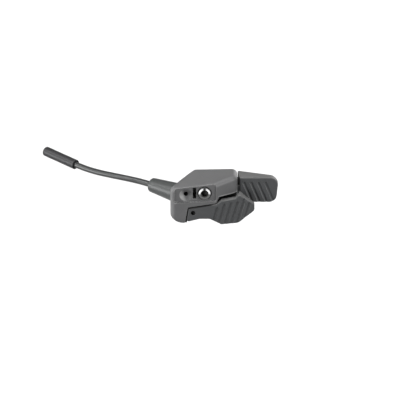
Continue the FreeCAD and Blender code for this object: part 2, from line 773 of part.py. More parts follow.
# Front paddle: one flat plate that fills the notch and widens into the fluted thumb pad,
# with a wedge behind the pad's end and the pivot boss and switch nub behind its arm.
gap = dim.paddle_gap
roof_right = -dim.notch_roof_right - gap
front_arm = new_body("front_paddle_arm")
PAD = [(-dim.notch_left_low + gap * 2, -dim.arm_end_low, dim.arm_round),
       (-dim.notch_left_high + gap, -dim.notch_roof_left - gap, dim.arm_round),
       (dim.notch_step, roof_right, dim.arm_round),
       (dim.notch_step + dim.notch_step_run + gap * 2, -dim.bulge_low - dim.pad_step_drop, dim.arm_round),
       (dim.pad_valley_right, -dim.bulge_low - gap / 2, dim.arm_round),
       (dim.pad_shoulder_right, -dim.pad_shoulder_low, dim.pad_edge_round),
       (dim.wedge_left + dim.wedge_crest, -dim.pad_shoulder_low, dim.pad_edge_round),
       (dim.pad_reach, -dim.pad_tip_high, dim.pad_round),
       (dim.pad_reach, -dim.pad_tip_low, dim.pad_round),
       (dim.pad_heel_right, -dim.pad_bottom + dim.pad_heel_rise, dim.pad_round * 2),
       (dim.pad_toe_right, -dim.pad_bottom, dim.pad_round),
       (dim.pad_waist_right, -dim.arm_low, dim.pad_round),
       (-dim.arm_waist_left, -dim.arm_low, dim.pad_round)]
pad_face = new_sketch(front_arm, "pad", "XZ_Plane", paddle_front)
outline(pad_face, *PAD)
pad(front_arm, pad_face, dim.paddle_thick, reverse=True)
fillet(front_arm, "pad_edges", dim.pad_edge_round,
       lambda e: abs(e.BoundBox.YMax + paddle_front.value) < CLOSE)

wedge = new_sketch(front_arm, "wedge", "XZ_Plane", paddle_rear)
outline(wedge, (dim.wedge_left, -dim.pad_tip_low), (dim.pad_reach - dim.wedge_crest, -dim.pad_tip_high),
        (dim.wedge_left + dim.wedge_crest, -dim.pad_shoulder_low - dim.pad_edge_round),
        (dim.wedge_left, -dim.pad_shoulder_low - dim.pad_edge_round))
pad(front_arm, wedge, paddle_rear - wedge_depth, reverse=True)
wedge_trim = new_sketch(front_arm, "wedge_trim", "XY_Plane", -dim.body_bottom)
outline(wedge_trim, (dim.wedge_left, -wedge_depth), (dim.pad_reach, -paddle_rear),
        (dim.pad_reach, -wedge_depth + SPARE), (dim.wedge_left, -wedge_depth + SPARE))
pocket(front_arm, wedge_trim, reverse=True)

web = new_sketch(front_arm, "web", "XY_Plane", -dim.front_boss_low)
web_left = -dim.front_pivot_left - dim.boss_radius
web_right = -dim.front_pivot_left + dim.boss_radius
outline(web, (web_left, -paddle_rear), (web_right, -paddle_rear),
        (web_right, -front_pivot_depth), (web_left, -front_pivot_depth))
boss_height = dim.front_boss_low - dim.front_boss_high
pad(front_arm, web, boss_height)
solid_in_body(front_arm, "AdditiveCylinder", "boss", (*front_pivot, -dim.front_boss_low),
              Radius=dim.boss_radius, Height=boss_height)
nub_length = paddle_rear - nub_end - dim.nub_radius
solid_in_body(front_arm, "AdditiveCylinder", "nub", (rod_right, -paddle_rear, -dim.switch_level), ALONG_Y,
              Radius=dim.nub_radius, Height=nub_length)
solid_in_body(front_arm, "AdditiveSphere", "nub_tip",
              (rod_right, -nub_end - dim.nub_radius, -dim.switch_level), Radius=dim.nub_radius)
spring_peg(front_arm, front_pivot, -dim.front_boss_high)
bore(front_arm, "pin_hole", pin_hole, boss_height, (*front_pivot, -dim.front_boss_low))
bore(front_arm, "screw_mouth", dim.pin_screw_mouth, dim.pin_screw_sink,
     (-dim.front_pivot_left, -paddle_front, -dim.pin_screw_level), ALONG_Y)
bore(front_arm, "screw_hole", dim.pin_screw_radius, paddle_front - front_pivot_depth,
     (-dim.front_pivot_left, -paddle_front, -dim.pin_screw_level), ALONG_Y)
front_tool = flutes("front", PAD, dim.front_flute_first, dim.front_flute_pitch, FRONT_FLUTES,
                    dim.front_flute_tilt.value, paddle_front, dim.front_band.value)
nodes.append(cut("front_paddle", front_arm, front_tool))

# Front pivot: the pin is locked in the paddle by a socket screw and turns in two bushes.
pin_low = front_post_high - dim.bush_length
front_pin_length = -dim.front_bush_level + dim.bush_length - pin_low
nodes.append(cylinder("front_pivot_pin", dim.pin_radius, front_pin_length, (*front_pivot, pin_low)))
screw_front = paddle_front - dim.pin_screw_sink
screw_body = cylinder("pin_screw_body", dim.pin_screw_radius,
                      screw_front - front_pivot_depth - dim.pin_radius - dim.touch_gap,
                      (-dim.front_pivot_left, -screw_front, -dim.pin_screw_level), ALONG_Y)
screw_socket = primitive("Prism", "pin_screw_socket",
                         (-dim.front_pivot_left, -screw_front, -dim.pin_screw_level), ALONG_Y,
                         Circumradius=dim.pin_screw_radius / 2, Height=dim.pin_screw_radius)
screw_socket.Polygon = 6
nodes.append(cut("front_pin_screw", screw_body, screw_socket))
nodes.append(ring("front_upper_bush", dim.bush_radius, bush_bore, dim.bush_length,
                  (*front_pivot, -dim.front_bush_level)))
nodes.append(ring("front_lower_bush", dim.bush_radius, bush_bore, dim.bush_length,
                  (*front_pivot, front_post_high - dim.bush_length)))


def torsion_spring(label, pivot, low):
    """Coil round a pivot with one leg along +X at the bottom and one along +Y at the top."""
    coil = doc.addObject("Part::Helix", f"{label}_line")
    bind(coil, Pitch=dim.spring_pitch, Height=spring_height, Radius=dim.spring_radius)
    section = doc.addObject("Part::Circle", f"{label}_section")
    bind(section, Radius=dim.spring_wire)
    place(section, (dim.spring_radius, ZERO, ZERO), ALONG_Y)
    doc.recompute()
    wire = doc.addObject("Part::Sweep", f"{label}_coil")
    wire.Sections = [section]
    wire.Spine = (coil, ["Edge1"])
    wire.Solid = True
    wire.Frenet = True
    first_leg = cylinder(f"{label}_first_leg", dim.spring_wire, dim.spring_leg,
                         (dim.spring_radius, ZERO, ZERO), AGAINST_Y)
    end_turn = math.radians(360 * dim.spring_turns.value)
    coil_end = (dim.spring_radius * math.cos(end_turn), dim.spring_radius * math.sin(end_turn), spring_height)
    second_leg = cylinder(f"{label}_second_leg", dim.spring_wire, dim.spring_leg, coil_end,
                          V(-math.sin(end_turn), math.cos(end_turn), 0))
    spring = fuse(label, [wire, first_leg, second_leg])
    x, y = pivot
    spring.Placement = FreeCAD.Placement(V(x.value, y.value, low.value), FreeCAD.Rotation(V(0, 0, 1), 90))
    bind(spring, Placement__Base__x=x, Placement__Base__y=y, Placement__Base__z=low)
    return spring


nodes.append(torsion_spring("front_return_spring", front_pivot, front_spring_low))

# Push rod from the paddle's nub through the sealed wall to the front switch.
rod_start = nub_end - dim.touch_gap
nodes.append(cylinder("front_push_rod", dim.rod_radius, rod_start - button_tip,
                      (rod_right, -rod_start, -dim.switch_level), ALONG_Y))
nodes.append(ring("front_rod_seal", dim.seal_radius, dim.rod_radius + dim.fit_clearance, dim.front_wall,
                  (rod_right, -notch_back, -dim.switch_level), ALONG_Y))


# Circuit board against the rear wall, with a tab up to the rear switch.
board_right = cavity_right - dim.board_gap
board = new_body("circuit_board")
board_plan = new_sketch(board, "plan", "XZ_Plane", wall_inner)
tab_left = rear_nub_right - dim.switch_width / 2
outline(board_plan, (-dim.board_left, -dim.board_low), (board_right, -dim.board_low),
        (board_right, -dim.rear_arm_high), (tab_left, -dim.rear_arm_high), (tab_left, -dim.board_high),
        (-dim.board_left, -dim.board_high))
pad(board, board_plan, dim.board_thick)
nodes.append(board)


def tact_switch(label, x, z):
    """Sealed push switch on the board, with its button in a blind hole."""
    half = dim.switch_width / 2
    case = primitive("Box", f"{label}_case", (x - half, -board_front - dim.switch_height, z - half),
                     Length=dim.switch_width, Width=dim.switch_height, Height=dim.switch_width)
    hole = cylinder(f"{label}_hole", dim.button_radius + dim.fit_clearance, dim.button_length,
                    (x, -board_front - dim.switch_height, z), ALONG_Y)
    nodes.append(cut(label, case, hole))
    nodes.append(cylinder(f"{label}_button", dim.button_radius, dim.button_length,
                          (x, -button_tip, z), ALONG_Y))


tact_switch("front_switch", rod_right, -dim.switch_level)
tact_switch("rear_switch", rear_nub_right, -dim.rear_switch_level)
chip_left = rod_right + dim.switch_width / 2 + dim.paddle_gap
nodes.append(primitive("Box", "control_chip",
                       (chip_left, -board_front - dim.chip_height, -dim.switch_level - dim.chip_width / 2),
                       Length=dim.chip_width, Width=dim.chip_height, Height=dim.chip_width))


# Rear paddle: a block that tapers in plan, on an arm that enters the housing through its end wall.
rear_arm = new_body("rear_paddle_arm")
block_face = new_sketch(rear_arm, "face", "XZ_Plane", rear_pad_front)
rear_pad_heel = dim.rear_pad_left - dim.rear_pad_hook
BLOCK = [(rear_pad_heel, -dim.rear_pad_low, dim.rear_pad_heel_round),
         (dim.rear_pad_right - dim.rear_pad_lean, -dim.rear_pad_low, dim.rear_pad_round),
         (dim.rear_pad_right, dim.rear_pad_high, dim.rear_pad_round),
         (rear_pad_heel, dim.rear_pad_high, dim.rear_pad_heel_round)]
outline(block_face, *BLOCK)
pad(rear_arm, block_face, rear_pad_front, reverse=True)
ends = new_sketch(rear_arm, "ends", "XY_Plane", -dim.rear_pad_low - SPARE)
outline(ends, (dim.rear_pad_left, ZERO), (dim.rear_pad_right, -rear_pad_front + dim.rear_pad_tail),
        (dim.rear_pad_right + SPARE, -rear_pad_front + dim.rear_pad_tail),
        (dim.rear_pad_right + SPARE, SPARE), (dim.rear_pad_left, SPARE))
outline(ends, (rear_pad_heel, -dim.rear_pad_lip), (rear_pad_heel - SPARE, -dim.rear_pad_lip),
        (rear_pad_heel - SPARE, -rear_pad_front - SPARE), (dim.rear_pad_left, -rear_pad_front - SPARE),
        (dim.rear_pad_left, -rear_pad_front))
pocket(rear_arm, ends, reverse=True)
fillet(rear_arm, "face_edges", dim.pad_edge_round,
       lambda e: abs(e.BoundBox.YMax + rear_pad_front.value) < CLOSE)
arm_height = dim.rear_arm_low - dim.rear_arm_high
solid_in_body(rear_arm, "AdditiveBox", "arm",
              (dim.rear_pivot_right, -rear_arm_front, -dim.rear_arm_low),
              Length=dim.rear_pad_left - dim.rear_pivot_right + SPARE,
              Width=dim.rear_arm_thick, Height=arm_height)
solid_in_body(rear_arm, "AdditiveCylinder", "boss", (*rear_pivot, -dim.rear_arm_low),
              Radius=dim.boss_radius, Height=arm_height)
rear_nub_depth = button_tip + dim.touch_gap + dim.rear_nub_radius
solid_in_body(rear_arm, "AdditiveSphere", "nub", (rear_nub_right, -rear_nub_depth, -dim.rear_switch_level),
              Radius=dim.rear_nub_radius)
spring_peg(rear_arm, rear_pivot, -dim.rear_arm_high)
bore(rear_arm, "pin_hole", pin_hole, arm_height, (*rear_pivot, -dim.rear_arm_low))
rear_tool = flutes("rear", BLOCK, dim.rear_pad_left + dim.rear_flute_first, dim.rear_flute_pitch,
                   REAR_FLUTES, -dim.rear_flute_tilt.value, rear_pad_front, dim.rear_band.value)
nodes.append(cut("rear_paddle", rear_arm, rear_tool))

rear_pin_low = rear_post_high - dim.bush_length
rear_pin_length = dim.chamber_roof + dim.rear_bush_length - rear_pin_low
nodes.append(cylinder("rear_pivot_pin", dim.pin_radius, rear_pin_length, (*rear_pivot, rear_pin_low)))
nodes.append(ring("rear_upper_bush", dim.bush_radius, bush_bore, dim.rear_bush_length,
                  (*rear_pivot, dim.chamber_roof)))
nodes.append(ring("rear_lower_bush", dim.bush_radius, bush_bore, dim.bush_length,
                  (*rear_pivot, rear_post_high - dim.bush_length)))
nodes.append(torsion_spring("rear_return_spring", rear_pivot, rear_spring_low))


# Tapered boot: its stem passes the slanted wall and its base lies on it.
boot = new_body("cable_boot")
boot_profile = new_sketch(boot, "profile", "XZ_Plane")
lead_bore = dim.lead_radius + dim.fit_clearance
outline(boot_profile, (lead_bore, -wall_inner), (dim.boot_stem_radius, -wall_inner),
        (dim.boot_stem_radius, ZERO), (dim.boot_base_radius, ZERO),
        (dim.boot_end_radius, dim.boot_length, dim.boot_end_round), (lead_bore, dim.boot_length))
revolve(boot, boot_profile)
place(boot, lead_point(0), lead_out)
nodes.append(boot)
tail_start = -wall_inner - dim.lead_inside
tail_end = dim.boot_length - dim.boot_overlap
nodes.append(cylinder("lead_tail", dim.lead_radius, tail_end - tail_start,
                      lead_point(tail_start), lead_out))
nodes.append(ring("cable_crimp", dim.crimp_radius, lead_bore, dim.crimp_length,
                  lead_point(-wall_inner - dim.crimp_length), lead_out))

wires = []
bend = lead_point(tail_start - dim.wire_lead_in)
landing = (-dim.wire_landing, -board_front, -dim.lead_level)
wire_run = V(*[(end - start).value for start, end in zip(bend, landing)])
for number, side in enumerate((-1, 1), 1):
    spot = (bend[0], bend[1], bend[2] + dim.wire_spread * side)
    lead_in = cylinder(f"wire_lead_in_{number}", dim.wire_radius, dim.wire_lead_in, spot, lead_out)
    elbow = primitive("Sphere", f"wire_elbow_{number}", spot, Radius=dim.wire_radius)
    run = cylinder(f"wire_run_{number}", dim.wire_radius, wire_run.Length - dim.wire_radius.value,
                   spot, wire_run)
    wires.append(fuse(f"wire_{number}", [lead_in, elbow, run]))
lead_wires = doc.addObject("Part::Compound", "lead_wires")
lead_wires.Links = wires
nodes.append(lead_wires)


def cord_path(points):
    """Straight runs joined by tangent arcs, each as large as its two runs allow."""
    edges = []
    start = points[0]
    radii = []
    for before, corner, after in zip(points, points[1:], points[2:]):
        arriving = (corner - before).normalize()
        leaving = (after - corner).normalize()
        half_turn = math.acos(arriving.dot(leaving)) / 2
        trim = ARC_SHARE * min((corner - before).Length, (after - corner).Length)
        radius = trim / math.tan(half_turn)
        radii.append(radius)
        first, last = corner - arriving * trim, corner + leaving * trim
        inward = (leaving - arriving).normalize()
        middle = corner + inward * (radius / math.cos(half_turn) - radius)
        edges.append(Part.LineSegment(start, first).toShape())
        edges.append(Part.Arc(first, middle, last).toShape())
        start = last
    edges.append(Part.LineSegment(start, points[-1]).toShape())
    print("cord bend radii, mm:", [round(r, 1) for r in radii])
    return Part.Wire(edges)


# Free stretch of the lead: starts inside the boot's mouth and ends inside the plug.
lead_start = V(*[c.value for c in lead_point(tail_end)])
lead_line = doc.addObject("Part::Feature", "lead_line")
first_bend = V(*[c.value for c in lead_point(tail_end + dim.lead_first_run)])
lead_line.Shape = cord_path([lead_start, first_bend, *LEAD_ROUTE])
lead_section = doc.addObject("Part::Circle", "lead_section")
bind(lead_section, Radius=dim.lead_radius)
lead_section.Placement = FreeCAD.Placement(lead_start, FreeCAD.Rotation(V(0, 0, 1), lead_out))
doc.recompute()
lead = doc.addObject("Part::Sweep", "lead_cable")
lead.Sections = [lead_section]
lead.Spine = (lead_line, [f"Edge{i}" for i in range(1, len(lead_line.Shape.Edges) + 1)])
lead.Solid = True
nodes.append(lead)

# Plug: a plain turned shell; the lead enters its open rear mouth, two contacts stand in its front socket.
plug_out = (LEAD_ROUTE[-1] - LEAD_ROUTE[-2]).normalize()
lead_stop = dim.plug_mouth_depth + dim.plug_grip
plug_base = LEAD_ROUTE[-1] - plug_out * lead_stop.value
plug_place = FreeCAD.Placement(plug_base, FreeCAD.Rotation(V(0, 0, 1), plug_out))
plug = new_body("plug_shell")
plug_profile = new_sketch(plug, "profile", "XZ_Plane")
socket_floor = dim.plug_length - dim.plug_socket_depth
outline(plug_profile, (lead_bore, dim.plug_mouth_depth), (dim.plug_mouth_radius, dim.plug_mouth_depth),
        (dim.plug_mouth_radius, ZERO), (dim.plug_radius, ZERO),
        (dim.plug_radius, dim.plug_length, dim.plug_end_round), (dim.plug_socket_radius, dim.plug_length),
        (dim.plug_socket_radius, lead_stop), (lead_bore, lead_stop))
revolve(plug, plug_profile)
plug.Placement = plug_place
nodes.append(plug)

insert_length = socket_floor - lead_stop
insert = cylinder("plug_insert_block", dim.plug_socket_radius, insert_length, (ZERO, ZERO, lead_stop))
holes = []
pins = []
for number, side in enumerate((-1, 1), 1):
    spot = (dim.contact_spread * side, ZERO, lead_stop)
    holes.append(cylinder(f"contact_hole_{number}", dim.contact_radius, insert_length, spot))
    pins.append(cylinder(f"contact_{number}", dim.contact_radius, insert_length + dim.contact_reach, spot))
contact_holes = doc.addObject("Part::Compound", "contact_holes")
contact_holes.Links = holes
plug_insert = cut("plug_insert", insert, contact_holes)
plug_insert.Placement = plug_place
nodes.append(plug_insert)
contacts = doc.addObject("Part::Compound", "plug_contacts")
contacts.Links = pins
contacts.Placement = plug_place
nodes.append(contacts)

doc.recompute()
for obj in doc.Objects:
    if "Invalid" in obj.State or "Error" in obj.State:
        raise RuntimeError(f"{obj.Label} did not build: {obj.State}")
for node in nodes:
    if node.Shape.isNull() or not node.Shape.isValid() or not node.Shape.Solids:
        raise RuntimeError(f"{node.Label} has no valid solid")
lead_length = lead_line.Shape.Length
print("lead volume over section times length:",
      round(lead.Shape.Volume / (math.pi * dim.lead_radius.value ** 2 * lead_length), 4))
print("free lead length, mm:", round(lead_length, 1))

os.makedirs("parts", exist_ok=True)
for node in nodes:
    node.Shape.exportStep(f"parts/{node.Label}.step")
print("nodes written:", len(nodes))
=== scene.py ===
import math

import bmesh
import bpy
from mathutils import Matrix, Vector

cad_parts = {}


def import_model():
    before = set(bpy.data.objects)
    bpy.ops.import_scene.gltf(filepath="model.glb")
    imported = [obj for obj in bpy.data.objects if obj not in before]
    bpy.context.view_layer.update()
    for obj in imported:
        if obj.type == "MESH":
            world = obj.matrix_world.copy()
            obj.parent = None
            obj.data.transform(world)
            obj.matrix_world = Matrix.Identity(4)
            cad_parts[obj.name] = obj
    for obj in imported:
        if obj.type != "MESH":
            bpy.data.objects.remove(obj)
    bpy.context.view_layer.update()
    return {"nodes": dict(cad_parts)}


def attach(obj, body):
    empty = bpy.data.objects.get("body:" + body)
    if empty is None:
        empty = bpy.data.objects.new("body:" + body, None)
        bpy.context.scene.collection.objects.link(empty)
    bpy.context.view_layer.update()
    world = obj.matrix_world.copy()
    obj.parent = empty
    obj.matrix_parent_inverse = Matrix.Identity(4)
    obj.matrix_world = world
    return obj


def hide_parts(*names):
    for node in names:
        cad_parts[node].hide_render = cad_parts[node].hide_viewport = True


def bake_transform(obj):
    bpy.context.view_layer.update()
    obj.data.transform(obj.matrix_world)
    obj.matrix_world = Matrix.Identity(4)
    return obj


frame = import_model()
nodes = frame["nodes"]

# The switch hangs free over a plain white sweep of paper, under a softbox overhead and five lamps around it.
# The camera looks along the clamp bolt from 24 degrees above, through a long lens.
# The farther the paper lies, the more it glows to the camera, so that it stays white up to its end.
METRES_PER_PIXEL = 0.00052
PIXELS = 400
VIEW_RISE = math.radians(24.0)
VIEW_END = 20.0
LENS = 300.0
LOOK_AT = Vector((-0.00234, 0.0, -0.01184))


def add_object(name, data):
    made = bpy.data.objects.new(name, data)
    bpy.context.scene.collection.objects.link(made)
    return made


camera_data = bpy.data.cameras.new("studio_camera")
camera_data.lens = LENS
camera_data.clip_end = VIEW_END
camera = add_object("studio_camera", camera_data)
away = Vector((0.0, -math.cos(VIEW_RISE), math.sin(VIEW_RISE)))
camera.location = LOOK_AT + away * (PIXELS * METRES_PER_PIXEL * LENS / camera_data.sensor_width)
camera.rotation_euler = (-away).to_track_quat("-Z", "Y").to_euler()
bpy.context.scene.camera = camera
bpy.context.scene.view_settings.view_transform = "Standard"


def softbox(name, place, size, watts):
    """A rectangular lamp that looks at the origin."""
    lamp = bpy.data.lights.new(name, "AREA")
    lamp.shape = "RECTANGLE"
    lamp.size, lamp.size_y = size
    lamp.energy = watts
    holder = add_object(name, lamp)
    holder.location = place
    holder.rotation_euler = (-Vector(place)).to_track_quat("-Z", "Y").to_euler()


softbox("overhead_softbox", place=(0.02, -0.04, 0.62), size=(0.60, 0.50), watts=8.2)
softbox("left_key", place=(-0.60, -0.05, 0.53), size=(0.26, 0.26), watts=3.4)
softbox("left_fill", place=(-0.55, -0.65, 0.10), size=(0.50, 0.50), watts=8.6)
softbox("right_fill", place=(0.70, -0.40, 0.22), size=(0.26, 0.26), watts=9.0)
softbox("left_rim", place=(-0.50, -0.04, -0.07), size=(0.20, 0.40), watts=3.2)
softbox("rear_fill", place=(0.50, 0.70, 0.10), size=(0.80, 0.60), watts=7.0)


def add_node(tree, kind, inputs=None, **settings):
    """A node with its settings; each input takes a value, or a link from an output."""
    made = tree.nodes.new(kind)
    for name, value in settings.items():
        setattr(made, name, value)
    for socket, value in (inputs or {}).items():
        if isinstance(value, bpy.types.NodeSocket):
            tree.links.new(value, made.inputs[socket])
        else:
            made.inputs[socket].default_value = value
    return made


def feed(tree, made, **sockets):
    """Link outputs to a node's named inputs, or set plain values on them."""
    for name, value in sockets.items():
        socket = made.inputs[name.replace("_", " ")]
        if isinstance(value, bpy.types.NodeSocket):
            tree.links.new(value, socket)
        else:
            socket.default_value = value


def reckon(tree, operation, *values):
    """One step of arithmetic on numbers or outputs."""
    return add_node(tree, "ShaderNodeMath", dict(enumerate(values)), operation=operation).outputs[0]


def times(tree, product, *factors):
    for factor in factors:
        product = reckon(tree, "MULTIPLY", product, factor)
    return product


def vector_step(tree, operation, output, *values):
    """One step of vector arithmetic, read at the named output."""
    made = add_node(tree, "ShaderNodeVectorMath", dict(enumerate(values)), operation=operation)
    return made.outputs[output]


def spread(tree, value, low, high, start=0.0, stop=1.0):
    """A value from low to high, as the one that goes in runs from start to stop."""
    return add_node(tree, "ShaderNodeMapRange", {
        "Value": value, "From Min": start, "From Max": stop, "To Min": low, "To Max": high}).outputs["Result"]


def two_tone(tree, mask, dark, light):
    """A colour between two tones, by a mask."""
    ramp = add_node(tree, "ShaderNodeValToRGB", {"Fac": mask})
    ramp.color_ramp.elements[0].color = (*dark, 1.0)
    ramp.color_ramp.elements[1].color = (*light, 1.0)
    return ramp.outputs["Color"]


def grey(level):
    return level, level, level


def new_material(name):
    material = bpy.data.materials.new(name)
    material.use_nodes = True
    return material, material.node_tree, material.node_tree.nodes["Principled BSDF"]


WHITE = (*grey(1.0), 1.0)
SKY_LIGHT = 0.12
studio = bpy.data.worlds.new("studio")
studio.use_nodes = True
bpy.context.scene.world = studio
sky = studio.node_tree
to_camera = add_node(sky, "ShaderNodeLightPath").outputs["Is Camera Ray"]
feed(sky, sky.nodes["Background"], Color=WHITE, Strength=spread(sky, to_camera, SKY_LIGHT, 1.0))

SWEEP_LEVEL = -0.10
SWEEP_HALF = 3.0
GLOW_REACH = 0.10, 0.90
GLOW = 0.10, 1.0
PAPER_ROUGHNESS = 0.9
PAPER_FIBRES = 400.0
PAPER_DARK = grey(0.36)
PAPER_LIGHT = grey(0.38)
sweep_paper, tree, shader = new_material("sweep_paper")
place = add_node(tree, "ShaderNodeTexCoord").outputs["Object"]
fibre = add_node(tree, "ShaderNodeTexNoise", {"Vector": place, "Scale": PAPER_FIBRES}).outputs["Fac"]
reach = vector_step(tree, "LENGTH", "Value", place)
to_camera = add_node(tree, "ShaderNodeLightPath").outputs["Is Camera Ray"]
feed(tree, shader, Base_Color=two_tone(tree, fibre, PAPER_DARK, PAPER_LIGHT),
     Roughness=PAPER_ROUGHNESS, Emission_Color=WHITE,
     Emission_Strength=times(tree, to_camera, spread(tree, reach, *GLOW, *GLOW_REACH)))
from_below = add_node(tree, "ShaderNodeMixShader", {
    0: add_node(tree, "ShaderNodeNewGeometry").outputs["Backfacing"], 1: shader.outputs["BSDF"],
    2: add_node(tree, "ShaderNodeBsdfTransparent").outputs["BSDF"]})
tree.links.new(from_below.outputs["Shader"], tree.nodes["Material Output"].inputs["Surface"])
sweep_mesh = bpy.data.meshes.new("sweep")
sweep_corners = [(SWEEP_HALF * x, SWEEP_HALF * y, SWEEP_LEVEL)
                 for x, y in ((-1, -1), (1, -1), (1, 1), (-1, 1))]
sweep_mesh.from_pydata(sweep_corners, [], [(0, 1, 2, 3)])
sweep_mesh.materials.append(sweep_paper)
add_object("sweep", sweep_mesh)


# The housing is an injection moulding in dark grey glass-filled nylon, open below.
# The tool's spark-eroded cavity leaves a fine satin grain; handling lightens the moulded edges, and a painted
# highlight lightens those that face up.
# Painted highlights lie in the dish, on the lip and on the left round; painted shade lies on the panel's
# ledge and in the notch.
def new_group(name, inputs, outputs):
    """A shader group with plain number inputs; returns it with its input sockets and its output node."""
    group = bpy.data.node_groups.new(name, "ShaderNodeTree")
    for socket, value in inputs.items():
        made = group.interface.new_socket(socket, in_out="INPUT", socket_type="NodeSocketFloat")
        made.default_value = value
    for socket, kind in outputs.items():
        group.interface.new_socket(socket, in_out="OUTPUT", socket_type=f"NodeSocket{kind}")
    return group, group.nodes.new("NodeGroupInput").outputs, group.nodes.new("NodeGroupOutput")


def place_group(tree, group, **values):
    """A shader group placed in a material with its own values; returns its outputs."""
    placed = add_node(tree, "ShaderNodeGroup", node_tree=group)
    feed(tree, placed, **values)
    return placed.outputs


def noise(tree, place, size, detail, roughness=0.6):
    """Soft noise whose blotches are about the given size, a number or an output, in metres."""
    return add_node(tree, "ShaderNodeTexNoise", {
        "Vector": place, "Scale": reckon(tree, "DIVIDE", 1.0, size), "Detail": detail,
        "Roughness": roughness}).outputs["Fac"]


def axes_of(tree, vector):
    """The X, Y and Z of a vector, as outputs by name."""
    return add_node(tree, "ShaderNodeSeparateXYZ", {0: vector}).outputs


def past(tree, value, start, stop):
    """A mask that rises from none at start to full at stop."""
    return spread(tree, value, 0.0, 1.0, start, stop)


def before(tree, value, start, stop):
    """A mask that falls from full at start to none at stop."""
    return spread(tree, value, 1.0, 0.0, start, stop)


def tint_over(tree, mask, under, over):
    """One colour laid over another by a mask."""
    return add_node(tree, "ShaderNodeMix", {0: mask, 6: under, 7: (*over, 1.0)}, data_type="RGBA").outputs[2]


moulded_grain, size, out = new_group("moulded_grain", {"Grain Size": 0.00016, "Mottle Size": 0.005},
                                     {"Height": "Float", "Mottle": "Float"})
place = add_node(moulded_grain, "ShaderNodeTexCoord").outputs["Object"]
feed(moulded_grain, out, Height=noise(moulded_grain, place, size["Grain Size"], detail=2.0),
     Mottle=noise(moulded_grain, place, size["Mottle Size"], detail=4.0))

ROUNDED_OFF = 0.99, 0.80
EDGE_UPWARD = 0.0, 0.6
EDGE_SHARE = 0.25, 1.0
# Edge mask: edges are lighter all round as wear, and more where they face up as a painted highlight.
softened_edges, size, out = new_group("softened_edges", {"Round": 0.0002},
                                      {"Normal": "Vector", "Edge": "Float"})
rounded = add_node(softened_edges, "ShaderNodeBevel", {"Radius": size["Round"]}, samples=6).outputs["Normal"]
flat = add_node(softened_edges, "ShaderNodeNewGeometry").outputs["Normal"]
likeness = vector_step(softened_edges, "DOT_PRODUCT", "Value", rounded, flat)
turned_up = spread(softened_edges, axes_of(softened_edges, rounded)["Z"], *EDGE_SHARE, *EDGE_UPWARD)
feed(softened_edges, out, Normal=rounded,
     Edge=times(softened_edges, past(softened_edges, likeness, *ROUNDED_OFF), turned_up))

DUST_AND_LIGHT_SLOPE = 0.2, 0.9
DUST_AND_LIGHT_PATCHES = 0.35, 0.70
DUST_AND_LIGHT_SHARE = 0.7, 1.0
# Dust makes upward faces paler; on the paddles it is laid on thick as a painted light on their tops.
dust_and_top_light, size, out = new_group("dust_and_top_light", {"Patch Size": 0.003}, {"Dust": "Float"})
coords = add_node(dust_and_top_light, "ShaderNodeTexCoord").outputs
patches = noise(dust_and_top_light, coords["Object"], size["Patch Size"], detail=6.0)
feed(dust_and_top_light, out, Dust=times(
    dust_and_top_light, past(dust_and_top_light, axes_of(dust_and_top_light, coords["Normal"])["Z"], *DUST_AND_LIGHT_SLOPE),
    spread(dust_and_top_light, patches, *DUST_AND_LIGHT_SHARE, *DUST_AND_LIGHT_PATCHES)))

DUST_AND_LIGHT_TONE = (0.14, 0.135, 0.13)
SATIN_BUMP = 0.5


def grained(tree, relief, strength, rounding, **sizes):
    """A worked surface: its mottle and edge masks, and its grained and rounded normal."""
    surface = place_group(tree, moulded_grain, **sizes)
    edges = place_group(tree, softened_edges, Round=rounding)
    bump = add_node(tree, "ShaderNodeBump", {"Height": surface["Height"], "Normal": edges["Normal"],
                                             "Strength": strength, "Distance": relief})
    return surface["Mottle"], edges["Edge"], bump.outputs["Normal"]


def add_dust_and_top_light(tree, tone, amount):
    return tint_over(tree, times(tree, place_group(tree, dust_and_top_light)["Dust"], amount), tone, DUST_AND_LIGHT_TONE)


def satin(tree, shader, dark, light, edge, gloss, grain=0.00016, relief=0.00001, rounding=0.00025, dust=0.12,
          sheen=0.2):
    """Finish a shader as satin moulded plastic or rubber; returns its tone, lighter at edges and paler on
    upward faces.
    """
    mottle, edge_wear_and_highlight, normal = grained(tree, relief, SATIN_BUMP, rounding, Grain_Size=grain)
    feed(tree, shader, Roughness=spread(tree, mottle, *gloss), Normal=normal, Specular_IOR_Level=sheen)
    tone = tint_over(tree, edge_wear_and_highlight, two_tone(tree, mottle, dark, light), edge)
    return add_dust_and_top_light(tree, tone, dust) if dust else tone


def moulded_plastic(name, dark, light, edge, gloss, **finish):
    """A whole material in satin moulded plastic or rubber."""
    material, tree, shader = new_material(name)
    feed(tree, shader, Base_Color=satin(tree, shader, dark, light, edge, gloss, **finish))
    return material


def dress(material, *names):
    for name in names:
        nodes[name].data.materials.clear()
        nodes[name].data.materials.append(material)


HOUSING_TONES = (0.046, 0.046, 0.047), (0.058, 0.058, 0.059), grey(0.27)
HOUSING_GLOSS = 0.44, 0.58
HOUSING_DUST = 0.06
EDGE_ROUND = 0.0003
LEFT_EDGE_ROUND = 0.0016
LEFT_EDGE = -0.0155, -0.0135
ACROSS_BOLT = (1.0, 0.0, 1.0)
DISH_PLACE = (-0.0096, 0.0, -0.0010)
DISH_RADIUS = 0.0034
DISH_BLUR = 0.0002
DISH_LOW_LEFT = (-0.94, 0.0, -0.34)
DISH_FADE = 0.0006, 0.0020
DISH_DEPTH = -0.0166, -0.0162
DISH_HIGHLIGHT = grey(0.12)
LIP_BOTTOM = -0.0024, -0.0023
LIP_TOP = -0.0019, -0.0016
LIP_LEFT = 0.0065, 0.0085
LIP_FACING = -0.35, -0.20
LIP_HIGHLIGHT = grey(0.13)
ROUND_RIGHT = -0.0165, -0.0152
ROUND_BACK = -0.0120, -0.0070
